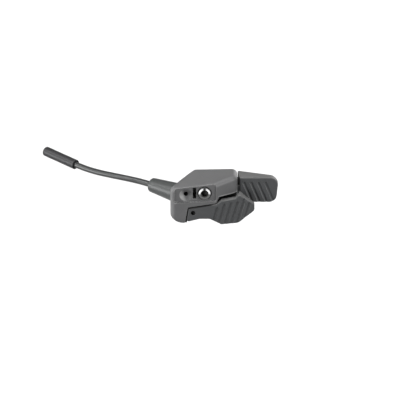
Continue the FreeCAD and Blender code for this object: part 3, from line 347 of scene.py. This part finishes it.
ROUND_HIGHLIGHT = (0.085, 0.085, 0.086)
LEDGE_TOP = -0.0032, -0.0026
LEDGE_UPWARD = 0.40, 0.70
LEDGE_ENDS = -0.0100, 0.0
LEDGE_SHARE = 0.9, 0.4
LEDGE_SHADE = grey(0.012)
NOTCH_WALL = -0.0110
NOTCH_WALL_REACH = 0.0002
NOTCH_FACING = -0.95, -0.80
NOTCH_TOP = -0.0020, -0.0010
NOTCH_SHADE = grey(0.003)

housing_nylon, tree, shader = new_material("housing_nylon")
coords = add_node(tree, "ShaderNodeTexCoord").outputs
axes = axes_of(tree, coords["Object"])
turned_to = axes_of(tree, coords["Normal"])
tone = satin(tree, shader, *HOUSING_TONES, HOUSING_GLOSS, dust=HOUSING_DUST,
             rounding=spread(tree, axes["X"], LEFT_EDGE_ROUND, EDGE_ROUND, *LEFT_EDGE))
from_dish = vector_step(tree, "SUBTRACT", "Vector", coords["Object"], DISH_PLACE)
across_dish = vector_step(tree, "MULTIPLY", "Vector", from_dish, ACROSS_BOLT)
dish_reach = vector_step(tree, "LENGTH", "Value", across_dish)
low_left = vector_step(tree, "DOT_PRODUCT", "Value", across_dish, DISH_LOW_LEFT)
# Painted highlight: the rounded left front corner is lighter, as if lit.
round_highlight = times(tree, before(tree, axes["X"], *ROUND_RIGHT), before(tree, axes["Y"], *ROUND_BACK))
# Painted highlight: the lower left slope of the dish is lighter, as if lit.
dish_highlight = times(tree, past(tree, low_left, *DISH_FADE), before(tree, axes["Y"], *DISH_DEPTH),
                  before(tree, dish_reach, DISH_RADIUS - DISH_BLUR, DISH_RADIUS))
# Painted highlight: a light line along the front-facing lower lip of the bulge.
lip_highlight = times(tree, past(tree, axes["Z"], *LIP_BOTTOM), before(tree, axes["Z"], *LIP_TOP),
                 past(tree, axes["X"], *LIP_LEFT), before(tree, turned_to["Y"], *LIP_FACING))
# Painted shade: the upward ledge under the panel is darkened, less toward its right end and not in the dish.
ledge_shade = times(tree, past(tree, turned_to["Z"], *LEDGE_UPWARD), before(tree, axes["Z"], *LEDGE_TOP),
                   spread(tree, axes["X"], *LEDGE_SHARE, *LEDGE_ENDS),
                   past(tree, dish_reach, DISH_RADIUS, DISH_RADIUS + DISH_BLUR))
# Painted shade: the notch's front-facing back wall below the lip is darkened almost to black.
notch_shade = times(tree, reckon(tree, "COMPARE", axes["Y"], NOTCH_WALL, NOTCH_WALL_REACH),
                   before(tree, turned_to["Y"], *NOTCH_FACING), before(tree, axes["Z"], *NOTCH_TOP))
for mask, over in ((round_highlight, ROUND_HIGHLIGHT), (dish_highlight, DISH_HIGHLIGHT), (lip_highlight, LIP_HIGHLIGHT),
                   (ledge_shade, LEDGE_SHADE), (notch_shade, NOTCH_SHADE)):
    tone = tint_over(tree, mask, tone, over)
feed(tree, shader, Base_Color=tone)
dress(housing_nylon, "main_housing")

# A turned aluminium sleeve is moulded into the housing and takes the clamp bolt's load.
# The pivots' bushes are pressed in beside it: plain rings of a dark bearing polymer.
METAL_GRAIN = 0.00010
METAL_MOTTLE = 0.002
METAL_RELIEF = 0.000002
METAL_BUMP = 0.4
METAL_ROUND = 0.0001
BUSH_ROUND = 0.0001


def bare_metal(name, dark, light, gloss):
    """Worked metal: slightly uneven colour and polish, and a fine tool finish."""
    material, tree, shader = new_material(name)
    mottle, _, normal = grained(tree, METAL_RELIEF, METAL_BUMP, METAL_ROUND, Grain_Size=METAL_GRAIN,
                                Mottle_Size=METAL_MOTTLE)
    feed(tree, shader, Base_Color=two_tone(tree, mottle, dark, light), Metallic=1.0,
         Roughness=spread(tree, mottle, *gloss), Normal=normal)
    return material


turned_aluminium = bare_metal("turned_aluminium", (0.26, 0.26, 0.27), (0.33, 0.33, 0.34), gloss=(0.34, 0.46))
dress(turned_aluminium, "bolt_sleeve")
bearing_polymer = moulded_plastic("bearing_polymer", (0.050, 0.050, 0.055), (0.065, 0.065, 0.070), grey(0.09),
                                  gloss=(0.30, 0.42), rounding=BUSH_ROUND, dust=0.0)
dress(bearing_polymer, "front_upper_bush", "front_lower_bush", "rear_upper_bush", "rear_lower_bush")

# The circuit board stands in the cavity: a glass-fibre laminate under green solder mask, with copper tracks.
# Two push switches and a small controller are soldered to it, in black moulded cases.
# The switches' plungers are of ivory plastic.
TRACK_PITCH = 0.0012
TRACK_LENGTH = 4 * TRACK_PITCH
TRACK_WIDTH = 0.12 * TRACK_PITCH
TRACK_RELIEF = 0.00003
TRACK_BUMP = 0.4
TRACK_TONE = (0.012, 0.125, 0.045)
FIBRE_SIZE = 0.0004
MASK_DARK = (0.004, 0.050, 0.018)
MASK_LIGHT = (0.006, 0.066, 0.026)
MASK_GLOSS = 0.25, 0.36
CASE_GRAIN = 0.00008
CASE_ROUND = 0.0001
board_laminate, tree, shader = new_material("board_laminate")
place = add_node(tree, "ShaderNodeTexCoord").outputs["Object"]
board_plane = add_node(tree, "ShaderNodeMapping", {"Vector": place,
                                                   "Rotation": (math.radians(90.0), 0.0, 0.0)})
tracks = add_node(tree, "ShaderNodeTexBrick", {
    "Vector": board_plane.outputs["Vector"], "Scale": 1.0, "Mortar Size": TRACK_WIDTH, "Mortar Smooth": 0.2,
    "Brick Width": TRACK_LENGTH, "Row Height": TRACK_PITCH}).outputs["Fac"]
raised = add_node(tree, "ShaderNodeBump", {"Height": tracks, "Strength": TRACK_BUMP,
                                           "Distance": TRACK_RELIEF})
fibre = noise(tree, place, FIBRE_SIZE, detail=3.0)
mask_tone = two_tone(tree, fibre, MASK_DARK, MASK_LIGHT)
feed(tree, shader, Base_Color=tint_over(tree, tracks, mask_tone, TRACK_TONE),
     Roughness=spread(tree, fibre, *MASK_GLOSS), Normal=raised.outputs["Normal"])
dress(board_laminate, "circuit_board")
switch_case = moulded_plastic("switch_body", (0.014, 0.014, 0.015), (0.020, 0.020, 0.021), grey(0.05),
                              gloss=(0.40, 0.55), grain=CASE_GRAIN, rounding=CASE_ROUND, dust=0.0)
dress(switch_case, "control_chip", "front_switch", "rear_switch")
switch_button = moulded_plastic("switch_button", (0.60, 0.58, 0.52), (0.68, 0.66, 0.60), (0.74, 0.72, 0.68),
                                gloss=(0.34, 0.46), grain=CASE_GRAIN, rounding=CASE_ROUND, dust=0.0)
dress(switch_button, "front_switch_button", "rear_switch_button")

# Two insulated wires run from the lead's end to the board, under a folded brass crimp.
# The upper one is red and the lower one black.
WIRE_SPLIT = -0.00725, -0.00715
WIRE_BLACK = (0.016, 0.016, 0.017)
WIRE_RED = (0.32, 0.018, 0.014)
WIRE_GLOSS = 0.32, 0.48
WIRE_SMUDGE = 0.0008
wire_jacket, tree, shader = new_material("wire_jacket")
place = add_node(tree, "ShaderNodeTexCoord").outputs["Object"]
upper = past(tree, axes_of(tree, place)["Z"], *WIRE_SPLIT)
feed(tree, shader, Base_Color=two_tone(tree, upper, WIRE_BLACK, WIRE_RED),
     Roughness=spread(tree, noise(tree, place, WIRE_SMUDGE, detail=3.0), *WIRE_GLOSS))
dress(wire_jacket, "lead_wires")
plated_brass = bare_metal("plated_brass", (0.72, 0.54, 0.22), (0.82, 0.64, 0.30), gloss=(0.18, 0.30))
dress(plated_brass, "cable_crimp")

# The boot is a tapered rubber strain relief, pushed through the slanted wall from inside.
# It is moulded over the lead, with a darker and smoother face than the housing.
boot_rubber = moulded_plastic("boot_rubber", (0.024, 0.026, 0.0255), (0.031, 0.033, 0.0325), grey(0.05),
                              gloss=(0.34, 0.44), grain=0.00022, relief=0.000004, dust=0.04, sheen=0.3)
dress(boot_rubber, "cable_boot")

# Each thumb paddle is moulded in a darker nylon, with grooves across its face for grip.
# The thumb polishes the ribs between them and wears the outer edges; a painted highlight lightens those edges
# more where they face up.
# Painted shade darkens the top of the arm.
GROOVE_DEPTH = 0.00065
PADDLE_RELIEF = 0.00001
PADDLE_ROUND = 0.00025
PADDLE_DARK = (0.025, 0.026, 0.027)
PADDLE_LIGHT = (0.034, 0.035, 0.036)
PADDLE_EDGE = grey(0.22)
PADDLE_DUST_AND_TOP_LIGHT = 0.26
PADDLE_GLOSS = 0.56, 0.40
PADDLE_SHEEN = 0.2
POLISHED = 0.2, 0.7
ARM_FADE = 0.0015
ARM_UPWARD = 0.2, 0.5
ARM_SHADE = grey(0.003)


def paddle_nylon(name, face, arm_end, edge_start):
    """Paddle nylon for a face at its level along Y; the arm's painted shade ends, and edge wear with its
    painted highlight starts, along X.
    """
    material, tree, shader = new_material(name)
    mottle, edge_wear_and_highlight, normal = grained(tree, PADDLE_RELIEF, SATIN_BUMP, PADDLE_ROUND)
    coords = add_node(tree, "ShaderNodeTexCoord").outputs
    axes = axes_of(tree, coords["Object"])
    near_tip = past(tree, axes["X"], edge_start - ARM_FADE, edge_start)
    polish = times(tree, before(tree, axes["Y"], face, face + GROOVE_DEPTH), mottle)
    # Painted shade: the upward top of the arm is darkened almost to black.
    arm_shade = times(tree, before(tree, axes["X"], arm_end - ARM_FADE, arm_end),
                     past(tree, axes_of(tree, coords["Normal"])["Z"], *ARM_UPWARD))
    tone = two_tone(tree, mottle, PADDLE_DARK, PADDLE_LIGHT)
    # Dust and a painted top light make the paddle's upward faces paler.
    tone = add_dust_and_top_light(tree, tint_over(tree, times(tree, edge_wear_and_highlight, near_tip), tone, PADDLE_EDGE), PADDLE_DUST_AND_TOP_LIGHT)
    feed(tree, shader, Base_Color=tint_over(tree, arm_shade, tone, ARM_SHADE), Normal=normal,
         Roughness=spread(tree, polish, *PADDLE_GLOSS, *POLISHED), Specular_IOR_Level=PADDLE_SHEEN)
    return material


dress(paddle_nylon("rear_paddle_nylon", face=-0.0090, arm_end=0.0165, edge_start=0.0165), "rear_paddle")
dress(paddle_nylon("front_paddle_nylon", face=-0.0193, arm_end=0.0045, edge_start=0.0180), "front_paddle")

# Both paddles turn on hardened, ground steel pins, and a wire spring on each pin returns them.
# A steel rod through a rubber seal carries the front paddle's push to its switch.
# A black screw holds the front pin.
SPRING_ENDS = {"front": (-0.0080, -0.0089), "rear": (0.0012, 0.0003)}
WELD_REACH = 1e-7
SHARP_ANGLE = math.radians(35.0)
ground_steel = bare_metal("ground_steel", (0.52, 0.52, 0.53), (0.62, 0.62, 0.63), gloss=(0.16, 0.28))
dress(ground_steel, "front_pivot_pin", "rear_pivot_pin", "front_push_rod")
black_steel = bare_metal("black_steel", grey(0.020), grey(0.034), gloss=(0.38, 0.52))
dress(black_steel, "front_pin_screw")
seal_rubber = moulded_plastic("seal_rubber", grey(0.004), grey(0.007), grey(0.01), gloss=(0.62, 0.76),
                              rounding=0.0001, dust=0.0, sheen=0.1)
dress(seal_rubber, "front_rod_seal")
drawn_wire = bare_metal("drawn_wire", (0.40, 0.40, 0.42), (0.54, 0.54, 0.56), gloss=(0.22, 0.36))


def keep_mesh(name, shape, smooth=True):
    """Turn a built shape into a mesh, smooth but for its sharp edges."""
    mesh = bpy.data.meshes.new(name)
    shape.to_mesh(mesh)
    shape.free()
    if smooth:
        mesh.shade_smooth()
        mesh.set_sharp_from_angle(angle=SHARP_ANGLE)
    return mesh


for side, (fixed_end, free_end) in SPRING_ENDS.items():
    coil = bmesh.new()
    coil.from_mesh(nodes[f"{side}_return_spring"].data)
    bmesh.ops.remove_doubles(coil, verts=coil.verts, dist=WELD_REACH)
    coil_mesh = keep_mesh(f"{side}_wire_spring", coil)
    coil_mesh.materials.clear()
    coil_mesh.materials.append(drawn_wire)
    spring = add_object(f"{side}_wire_spring", coil_mesh)
    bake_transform(spring)
    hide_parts(f"{side}_return_spring")

# Two thin lips of black foam rubber are stuck to the housing and keep mud out behind the paddles.
# One lines the left wall of the front paddle's notch, the other narrows the gap beside the rear paddle.
LIP_ROUND = 0.0001
NOTCH_LIP = [(-0.00998, -0.0164), (-0.00900, -0.0163), (-0.00910, -0.0161), (-0.00955, -0.0160),
             (-0.00848, -0.0090), (-0.00880, -0.0090)]
NOTCH_LIP_DEPTHS = -0.0184, -0.0111
GAP_LIP = [(0.01690, 0.0), (0.01755, 0.0001), (0.01755, 0.0038), (0.01690, 0.0041)]
GAP_LIP_DEPTHS = -0.0072, -0.0058


def foam_lip(name, section, depths):
    """A strip with the given outline in X and Z, between two depths along Y, with soft edges."""
    front, rear = depths
    shape = bmesh.new()
    end = shape.faces.new([shape.verts.new((x, front, z)) for x, z in section])
    drawn = bmesh.ops.extrude_face_region(shape, geom=[end])
    bmesh.ops.translate(shape, vec=(0.0, rear - front, 0.0),
                        verts=[part for part in drawn["geom"] if isinstance(part, bmesh.types.BMVert)])
    bmesh.ops.bevel(shape, geom=list(shape.edges), offset=LIP_ROUND, segments=2, profile=0.5, affect="EDGES")
    bmesh.ops.recalc_face_normals(shape, faces=shape.faces)
    mesh = keep_mesh(name, shape, smooth=False)
    mesh.materials.append(seal_rubber)
    lip = add_object(name, mesh)
    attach(lip, "base")


foam_lip("notch_lip", NOTCH_LIP, NOTCH_LIP_DEPTHS)
foam_lip("gap_lip", GAP_LIP, GAP_LIP_DEPTHS)

# The base cover closes the cavity from below on a flat rubber gasket, in the housing's own nylon.
# Three short hexagon-socket screws pull it up; their heads lie in counterbores.
cover_nylon = moulded_plastic("cover_nylon", *HOUSING_TONES, HOUSING_GLOSS, rounding=EDGE_ROUND)
dress(cover_nylon, "base_cover")
dress(seal_rubber, "cover_gasket")


def hexagon(across_flats):
    """Radius of a hexagon at an angle, with corners at right and left."""
    def radius(turn):
        return across_flats / 2 / math.cos((turn % (math.pi / 3)) - math.pi / 6)
    return radius


def turned(name, rings, sides):
    """A closed turned mesh about Y: each ring has its place along Y and a radius, or a radius by angle."""
    shape = bmesh.new()
    turns = [2 * math.pi * k / sides for k in range(sides)]
    loops = []
    for along, radius in rings:
        reaches = [radius(turn) if callable(radius) else radius for turn in turns]
        loops.append([shape.verts.new((reach * math.cos(turn), along, reach * math.sin(turn)))
                      for turn, reach in zip(turns, reaches)])
    for near, far in zip(loops, loops[1:]):
        for k in range(sides):
            after = (k + 1) % sides
            shape.faces.new((near[k], near[after], far[after], far[k]))
    shape.faces.new(loops[0])
    shape.faces.new(loops[-1])
    bmesh.ops.recalc_face_normals(shape, faces=shape.faces)
    return keep_mesh(name, shape)


def new_tree(name, inputs):
    """A geometry tree with a mesh and a material going in beside its own named inputs."""
    tree = bpy.data.node_groups.new(name, "GeometryNodeTree")
    tree.interface.new_socket("Geometry", in_out="INPUT", socket_type="NodeSocketGeometry")
    for socket, kind in inputs.items():
        tree.interface.new_socket(socket, in_out="INPUT", socket_type=f"NodeSocket{kind}")
    tree.interface.new_socket("Finish", in_out="INPUT", socket_type="NodeSocketMaterial")
    tree.interface.new_socket("Geometry", in_out="OUTPUT", socket_type="NodeSocketGeometry")
    return tree, tree.nodes.new("NodeGroupInput").outputs


def end_tree(tree, entry, geometry):
    """Close a geometry tree: plain geometry, in the material that goes in."""
    plain = add_node(tree, "GeometryNodeRealizeInstances", {"Geometry": geometry})
    dressed = add_node(tree, "GeometryNodeSetMaterial", {"Geometry": plain.outputs["Geometry"],
                                                         "Material": entry["Finish"]})
    tree.links.new(dressed.outputs["Geometry"], tree.nodes.new("NodeGroupOutput").inputs["Geometry"])


def grow(name, mesh, tree, values):
    """Run a geometry tree on a mesh once, and keep what comes out as a plain mesh."""
    piece = add_object(name, mesh)
    modifier = piece.modifiers.new("grow", "NODES")
    modifier.node_group = tree
    for item in tree.interface.items_tree:
        if item.in_out == "INPUT" and item.name in values:
            modifier[item.identifier] = values[item.name]
    depsgraph = bpy.context.evaluated_depsgraph_get()
    grown = bpy.data.meshes.new_from_object(piece.evaluated_get(depsgraph), depsgraph=depsgraph)
    piece.modifiers.remove(modifier)
    piece.data = grown
    return piece


SCREW_HEAD = 0.0010
SCREW_HEAD_HEIGHT = 0.0007
SCREW_HEAD_RIM = [(0.0, 0.00015), (0.00004, 0.00004), (0.00012, 0.0)]
SCREW_SEAT_RIM = [(-0.00006, 0.0), (0.0, 0.00005)]
SCREW_SHANK = 0.0006
SCREW_LENGTH = 0.0047
SCREW_TIP = 0.0002
SCREW_SOCKET = 0.0009
SCREW_SOCKET_DEPTH = 0.0004
SCREW_SOCKET_MOUTH = 0.0006
SCREW_SOCKET_CHAMFER = 0.00004
SCREW_SOCKET_POINT = 0.00005, 0.00003
SCREW_SIDES = 36
SCREW_LEVEL = -0.0169
SCREW_PLACES = {"Rear Right": (0.0145, -0.0026, SCREW_LEVEL), "Front Right": (0.0145, -0.0101, SCREW_LEVEL),
                "Front Left": (-0.0089, -0.0101, SCREW_LEVEL)}
screw_tree, entry = new_tree("cover_screw_places", {name: "Vector" for name in SCREW_PLACES})
spots = add_node(screw_tree, "GeometryNodeJoinGeometry")
for name in SCREW_PLACES:
    spot = add_node(screw_tree, "GeometryNodePoints", {"Count": 1, "Position": entry[name]})
    screw_tree.links.new(spot.outputs["Points"], spots.inputs["Geometry"])
set_screws = add_node(screw_tree, "GeometryNodeInstanceOnPoints", {"Points": spots.outputs["Geometry"],
                                                                   "Instance": entry["Geometry"]})
end_tree(screw_tree, entry, set_screws.outputs["Instances"])

screw_socket = hexagon(SCREW_SOCKET)
point_depth, point_radius = SCREW_SOCKET_POINT
screw_mesh = turned("cover_screw", [
    (SCREW_SOCKET_DEPTH + point_depth, point_radius), (SCREW_SOCKET_DEPTH, screw_socket),
    (SCREW_SOCKET_CHAMFER, screw_socket), (0.0, SCREW_SOCKET_MOUTH),
    *((depth, SCREW_HEAD - inset) for depth, inset in SCREW_HEAD_RIM),
    *((SCREW_HEAD_HEIGHT + depth, SCREW_HEAD - inset) for depth, inset in SCREW_SEAT_RIM),
    (SCREW_HEAD_HEIGHT, SCREW_SHANK), (SCREW_LENGTH - SCREW_TIP, SCREW_SHANK),
    (SCREW_LENGTH, SCREW_SHANK - SCREW_TIP)], SCREW_SIDES)
screw_mesh.transform(Matrix.Rotation(math.radians(90.0), 4, "X"))
screws = grow("cover_screw_set", screw_mesh, screw_tree, {**SCREW_PLACES, "Finish": black_steel})
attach(screws, "base")
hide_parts("cover_screws")

# The clamp bolt is a plated steel socket-head bolt with a rolled thread; a plain washer lies under its head.
# Its hexagon socket is painted black inside as shade.
# A painted dark reflection darkens the lower half of its head, and painted shade a patch at the top and the
# side behind the rim.
BOLT_FRONT = -0.0190
BOLT_SEAT = -0.0146
BOLT_END = 0.0060
BOLT_TIP = 0.0004
BOLT_HEAD = 0.0033
BOLT_SHANK = 0.00175
BOLT_SIDES = 192
RIM_ROUND = 0.0005
RIM_STEPS = 10
SEAT_CHAMFER = 0.00015
KNURL_START = -0.0165
KNURL_RIDGES = 48
KNURL_DEPTH = 0.00003
SOCKET_WIDTH = 0.0034
SOCKET_MOUTH = 0.00204
SOCKET_DEPTH = 0.0024
SOCKET_CHAMFER = 0.00025
SOCKET_POINT = 0.0005, 0.00005
THREAD_PITCH = 0.0007
THREAD_TURNS = 7.5
THREAD_START = 0.00025
THREAD_CORE = 0.00165
THREAD_CREST = 0.0020
THREAD_STEPS = 40
THREAD_ROOT_SHARE = 0.86
THREAD_CREST_SHARE = 0.16
THREAD_SINK = 1.1

BOLT_GRAIN = 0.0002
BOLT_MOTTLE = 0.0015
BOLT_RELIEF = 0.000003
BOLT_BUMP = 0.3
BOLT_GLOSS = 0.16, 0.26
BOLT_METALLIC = 0.8
HEAD_BACK = -0.0150, -0.0145
SOCKET_EDGE = SOCKET_MOUTH, SOCKET_MOUTH + 0.00008
SIDE_DEPTH = BOLT_FRONT + 0.0004, BOLT_FRONT + 0.0007
SIDE_RADIUS = 0.0029, 0.0031
DARK_REFLECTION_LEVEL = -0.0008, 0.0002
DARK_REFLECTION_RAGGED = 0.0008
PAINTED_DARK_ROUGHNESS = 0.5
TOP_SHADE_HALF = 0.0004, 0.0012
TOP_SHADE_LEVEL = 0.0, 0.0010
THREAD_DARK = (0.16, 0.16, 0.165)
THREAD_LIGHT = (0.24, 0.24, 0.245)
HEAD_PLATE = (0.80, 0.80, 0.81)
DARK_REFLECTION_TONE = grey(0.045)
TOP_SHADE_TONE = grey(0.040)
SIDE_SHADE_TONE = grey(0.008)
SOCKET_SHADE_TONE = grey(0.004)

bolt_plate, tree, shader = new_material("bolt_plate")
surface = place_group(tree, moulded_grain, Grain_Size=BOLT_GRAIN, Mottle_Size=BOLT_MOTTLE)
mottle = surface["Mottle"]
place = add_node(tree, "ShaderNodeTexCoord").outputs["Object"]
axes = axes_of(tree, place)
radius = vector_step(tree, "LENGTH", "Value", vector_step(tree, "MULTIPLY", "Vector", place, ACROSS_BOLT))
on_head = before(tree, axes["Y"], *HEAD_BACK)
# Painted shade: black inside the socket.
in_socket = times(tree, before(tree, radius, *SOCKET_EDGE), on_head)
# Painted shade: the head's side behind the rim is near black, rough and not metallic.
side_shade = times(tree, reckon(tree, "MAXIMUM", past(tree, axes["Y"], *SIDE_DEPTH),
                             past(tree, radius, *SIDE_RADIUS)), on_head)
# Painted dark reflection: the lower half of the head, with a ragged edge, is dark, rough and not metallic.
ragged = reckon(tree, "SUBTRACT", axes["Z"], times(tree, mottle, DARK_REFLECTION_RAGGED))
dark_reflection = times(tree, before(tree, ragged, *DARK_REFLECTION_LEVEL), on_head)
# Painted shade: a dark patch at the top of the head.
top_shade = times(tree, before(tree, reckon(tree, "ABSOLUTE", axes["X"]), *TOP_SHADE_HALF),
               past(tree, axes["Z"], *TOP_SHADE_LEVEL), on_head)
tone = two_tone(tree, mottle, THREAD_DARK, THREAD_LIGHT)
for mask, over in ((on_head, HEAD_PLATE), (dark_reflection, DARK_REFLECTION_TONE), (top_shade, TOP_SHADE_TONE),
                   (side_shade, SIDE_SHADE_TONE), (in_socket, SOCKET_SHADE_TONE)):
    tone = tint_over(tree, mask, tone, over)
painted_dark = reckon(tree, "MAXIMUM", in_socket, reckon(tree, "MAXIMUM", dark_reflection, side_shade))
rolled = add_node(tree, "ShaderNodeBump", {"Height": surface["Height"], "Strength": BOLT_BUMP,
                                           "Distance": BOLT_RELIEF})
feed(tree, shader, Base_Color=tone, Metallic=spread(tree, painted_dark, BOLT_METALLIC, 0.0),
     Normal=rolled.outputs["Normal"],
     Roughness=reckon(tree, "ADD", spread(tree, mottle, *BOLT_GLOSS), times(tree, painted_dark, PAINTED_DARK_ROUGHNESS)))

thread_tree, entry = new_tree("rolled_thread", {"Turns": "Float", "Pitch": "Float", "Core Radius": "Float",
                                                "Crest Radius": "Float", "Start": "Float"})
ridge = reckon(thread_tree, "SUBTRACT", entry["Crest Radius"], entry["Core Radius"])
middle = reckon(thread_tree, "ADD", times(thread_tree, ridge, 0.5), entry["Core Radius"])
helix = add_node(thread_tree, "GeometryNodeCurveSpiral", {
    "Resolution": THREAD_STEPS, "Rotations": entry["Turns"], "Start Radius": middle, "End Radius": middle,
    "Height": times(thread_tree, entry["Turns"], entry["Pitch"])})
upright = add_node(thread_tree, "GeometryNodeSetCurveNormal", {"Curve": helix.outputs["Curve"]}, mode="Z_UP")
profile = add_node(thread_tree, "GeometryNodeCurvePrimitiveQuadrilateral", {
    "Height": times(thread_tree, ridge, THREAD_SINK),
    "Bottom Width": times(thread_tree, entry["Pitch"], THREAD_ROOT_SHARE),
    "Top Width": times(thread_tree, entry["Pitch"], THREAD_CREST_SHARE), "Offset": 0.0}, mode="TRAPEZOID")
outward = add_node(thread_tree, "GeometryNodeTransform", {"Geometry": profile.outputs["Curve"],
                                                          "Rotation": (0.0, 0.0, math.radians(-90.0))})
swept = add_node(thread_tree, "GeometryNodeCurveToMesh", {
    "Curve": upright.outputs["Curve"], "Profile Curve": outward.outputs["Geometry"], "Fill Caps": True})
along_bolt = add_node(thread_tree, "ShaderNodeCombineXYZ", {"Y": entry["Start"]})
laid = add_node(thread_tree, "GeometryNodeTransform", {
    "Geometry": swept.outputs["Mesh"], "Translation": along_bolt.outputs["Vector"],
    "Rotation": (math.radians(-90.0), 0.0, 0.0)})
whole = add_node(thread_tree, "GeometryNodeJoinGeometry", {"Geometry": entry["Geometry"]})
thread_tree.links.new(laid.outputs["Geometry"], whole.inputs["Geometry"])
end_tree(thread_tree, entry, whole.outputs["Geometry"])


def knurl(turn):
    """Head radius with rolled ridges."""
    return BOLT_HEAD - KNURL_DEPTH + KNURL_DEPTH * math.cos(KNURL_RIDGES * turn)


socket = hexagon(SOCKET_WIDTH)
point_depth, point_radius = SOCKET_POINT
rim = [(BOLT_FRONT + RIM_ROUND * (1 - math.cos(turn)), BOLT_HEAD - RIM_ROUND + RIM_ROUND * math.sin(turn))
       for turn in (math.pi / 2 * step / RIM_STEPS for step in range(RIM_STEPS + 1))]
bolt_mesh = turned("clamp_bolt", [
    (BOLT_FRONT + SOCKET_DEPTH + point_depth, point_radius), (BOLT_FRONT + SOCKET_DEPTH, socket),
    (BOLT_FRONT + SOCKET_CHAMFER, socket), (BOLT_FRONT, SOCKET_MOUTH), *rim, (KNURL_START, knurl),
    (BOLT_SEAT - SEAT_CHAMFER, knurl), (BOLT_SEAT, BOLT_HEAD - SEAT_CHAMFER), (BOLT_SEAT, BOLT_SHANK),
    (0.0, BOLT_SHANK), (0.0, THREAD_CORE), (BOLT_END - BOLT_TIP, THREAD_CORE),
    (BOLT_END, THREAD_CORE - BOLT_TIP)], BOLT_SIDES)
bolt = grow("clamp_bolt", bolt_mesh, thread_tree, {
    "Turns": THREAD_TURNS, "Pitch": THREAD_PITCH, "Core Radius": THREAD_CORE, "Crest Radius": THREAD_CREST,
    "Start": THREAD_START, "Finish": bolt_plate})
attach(bolt, "base")
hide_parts("mounting_bolt")
washer_steel = bare_metal("washer_steel", (0.62, 0.62, 0.63), (0.74, 0.74, 0.75), gloss=(0.18, 0.30))
dress(washer_steel, "bolt_washer")

# The lead is a thin round electrical cable with a smooth soft jacket.
# It leaves the boot in line with it, droops a little and rises into the plug.
LEAD_RADIUS = 0.0016
LEAD_ROUNDNESS = 8
LEAD_STEPS = 16
LEAD_ROUTE = [(-0.024221, 0.006574, -0.0072), (-0.031786, 0.012485, -0.0072), (-0.0410, 0.0186, -0.0076),
              (-0.0496, 0.0248, -0.0085), (-0.0574, 0.0309, -0.0093), (-0.0651, 0.0376, -0.0096),
              (-0.0718, 0.0434, -0.0089)]
lead_curve = bpy.data.curves.new("lead", "CURVE")
lead_curve.dimensions = "3D"
lead_curve.bevel_depth = LEAD_RADIUS
lead_curve.bevel_resolution = LEAD_ROUNDNESS
lead_curve.use_fill_caps = True
lead_line = lead_curve.splines.new("NURBS")
lead_line.points.add(len(LEAD_ROUTE) - 1)
for point, place in zip(lead_line.points, LEAD_ROUTE):
    point.co = (*place, 1.0)
lead_line.order_u = 3
lead_line.use_endpoint_u = True
lead_line.resolution_u = LEAD_STEPS
lead_jacket = moulded_plastic("lead_jacket", (0.016, 0.017, 0.017), (0.021, 0.022, 0.022), grey(0.024),
                              gloss=(0.26, 0.34), grain=0.0003, relief=0.000001, dust=0.04, sheen=0.3)
lead_curve.materials.append(lead_jacket)
lead = add_object("lead", lead_curve)
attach(lead, "base")
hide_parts("lead_cable")
dress(lead_jacket, "lead_tail")

# The plug's shell is a plain moulded nylon sleeve over an insulating insert with two plated contacts.
# It is gripped on the lead and pushed into the mating socket by hand.
plug_nylon = moulded_plastic("plug_nylon", (0.011, 0.011, 0.012), (0.015, 0.015, 0.016), grey(0.03),
                             gloss=(0.32, 0.44), dust=0.04)
dress(plug_nylon, "plug_shell")
dress(switch_case, "plug_insert")
dress(plated_brass, "plug_contacts")
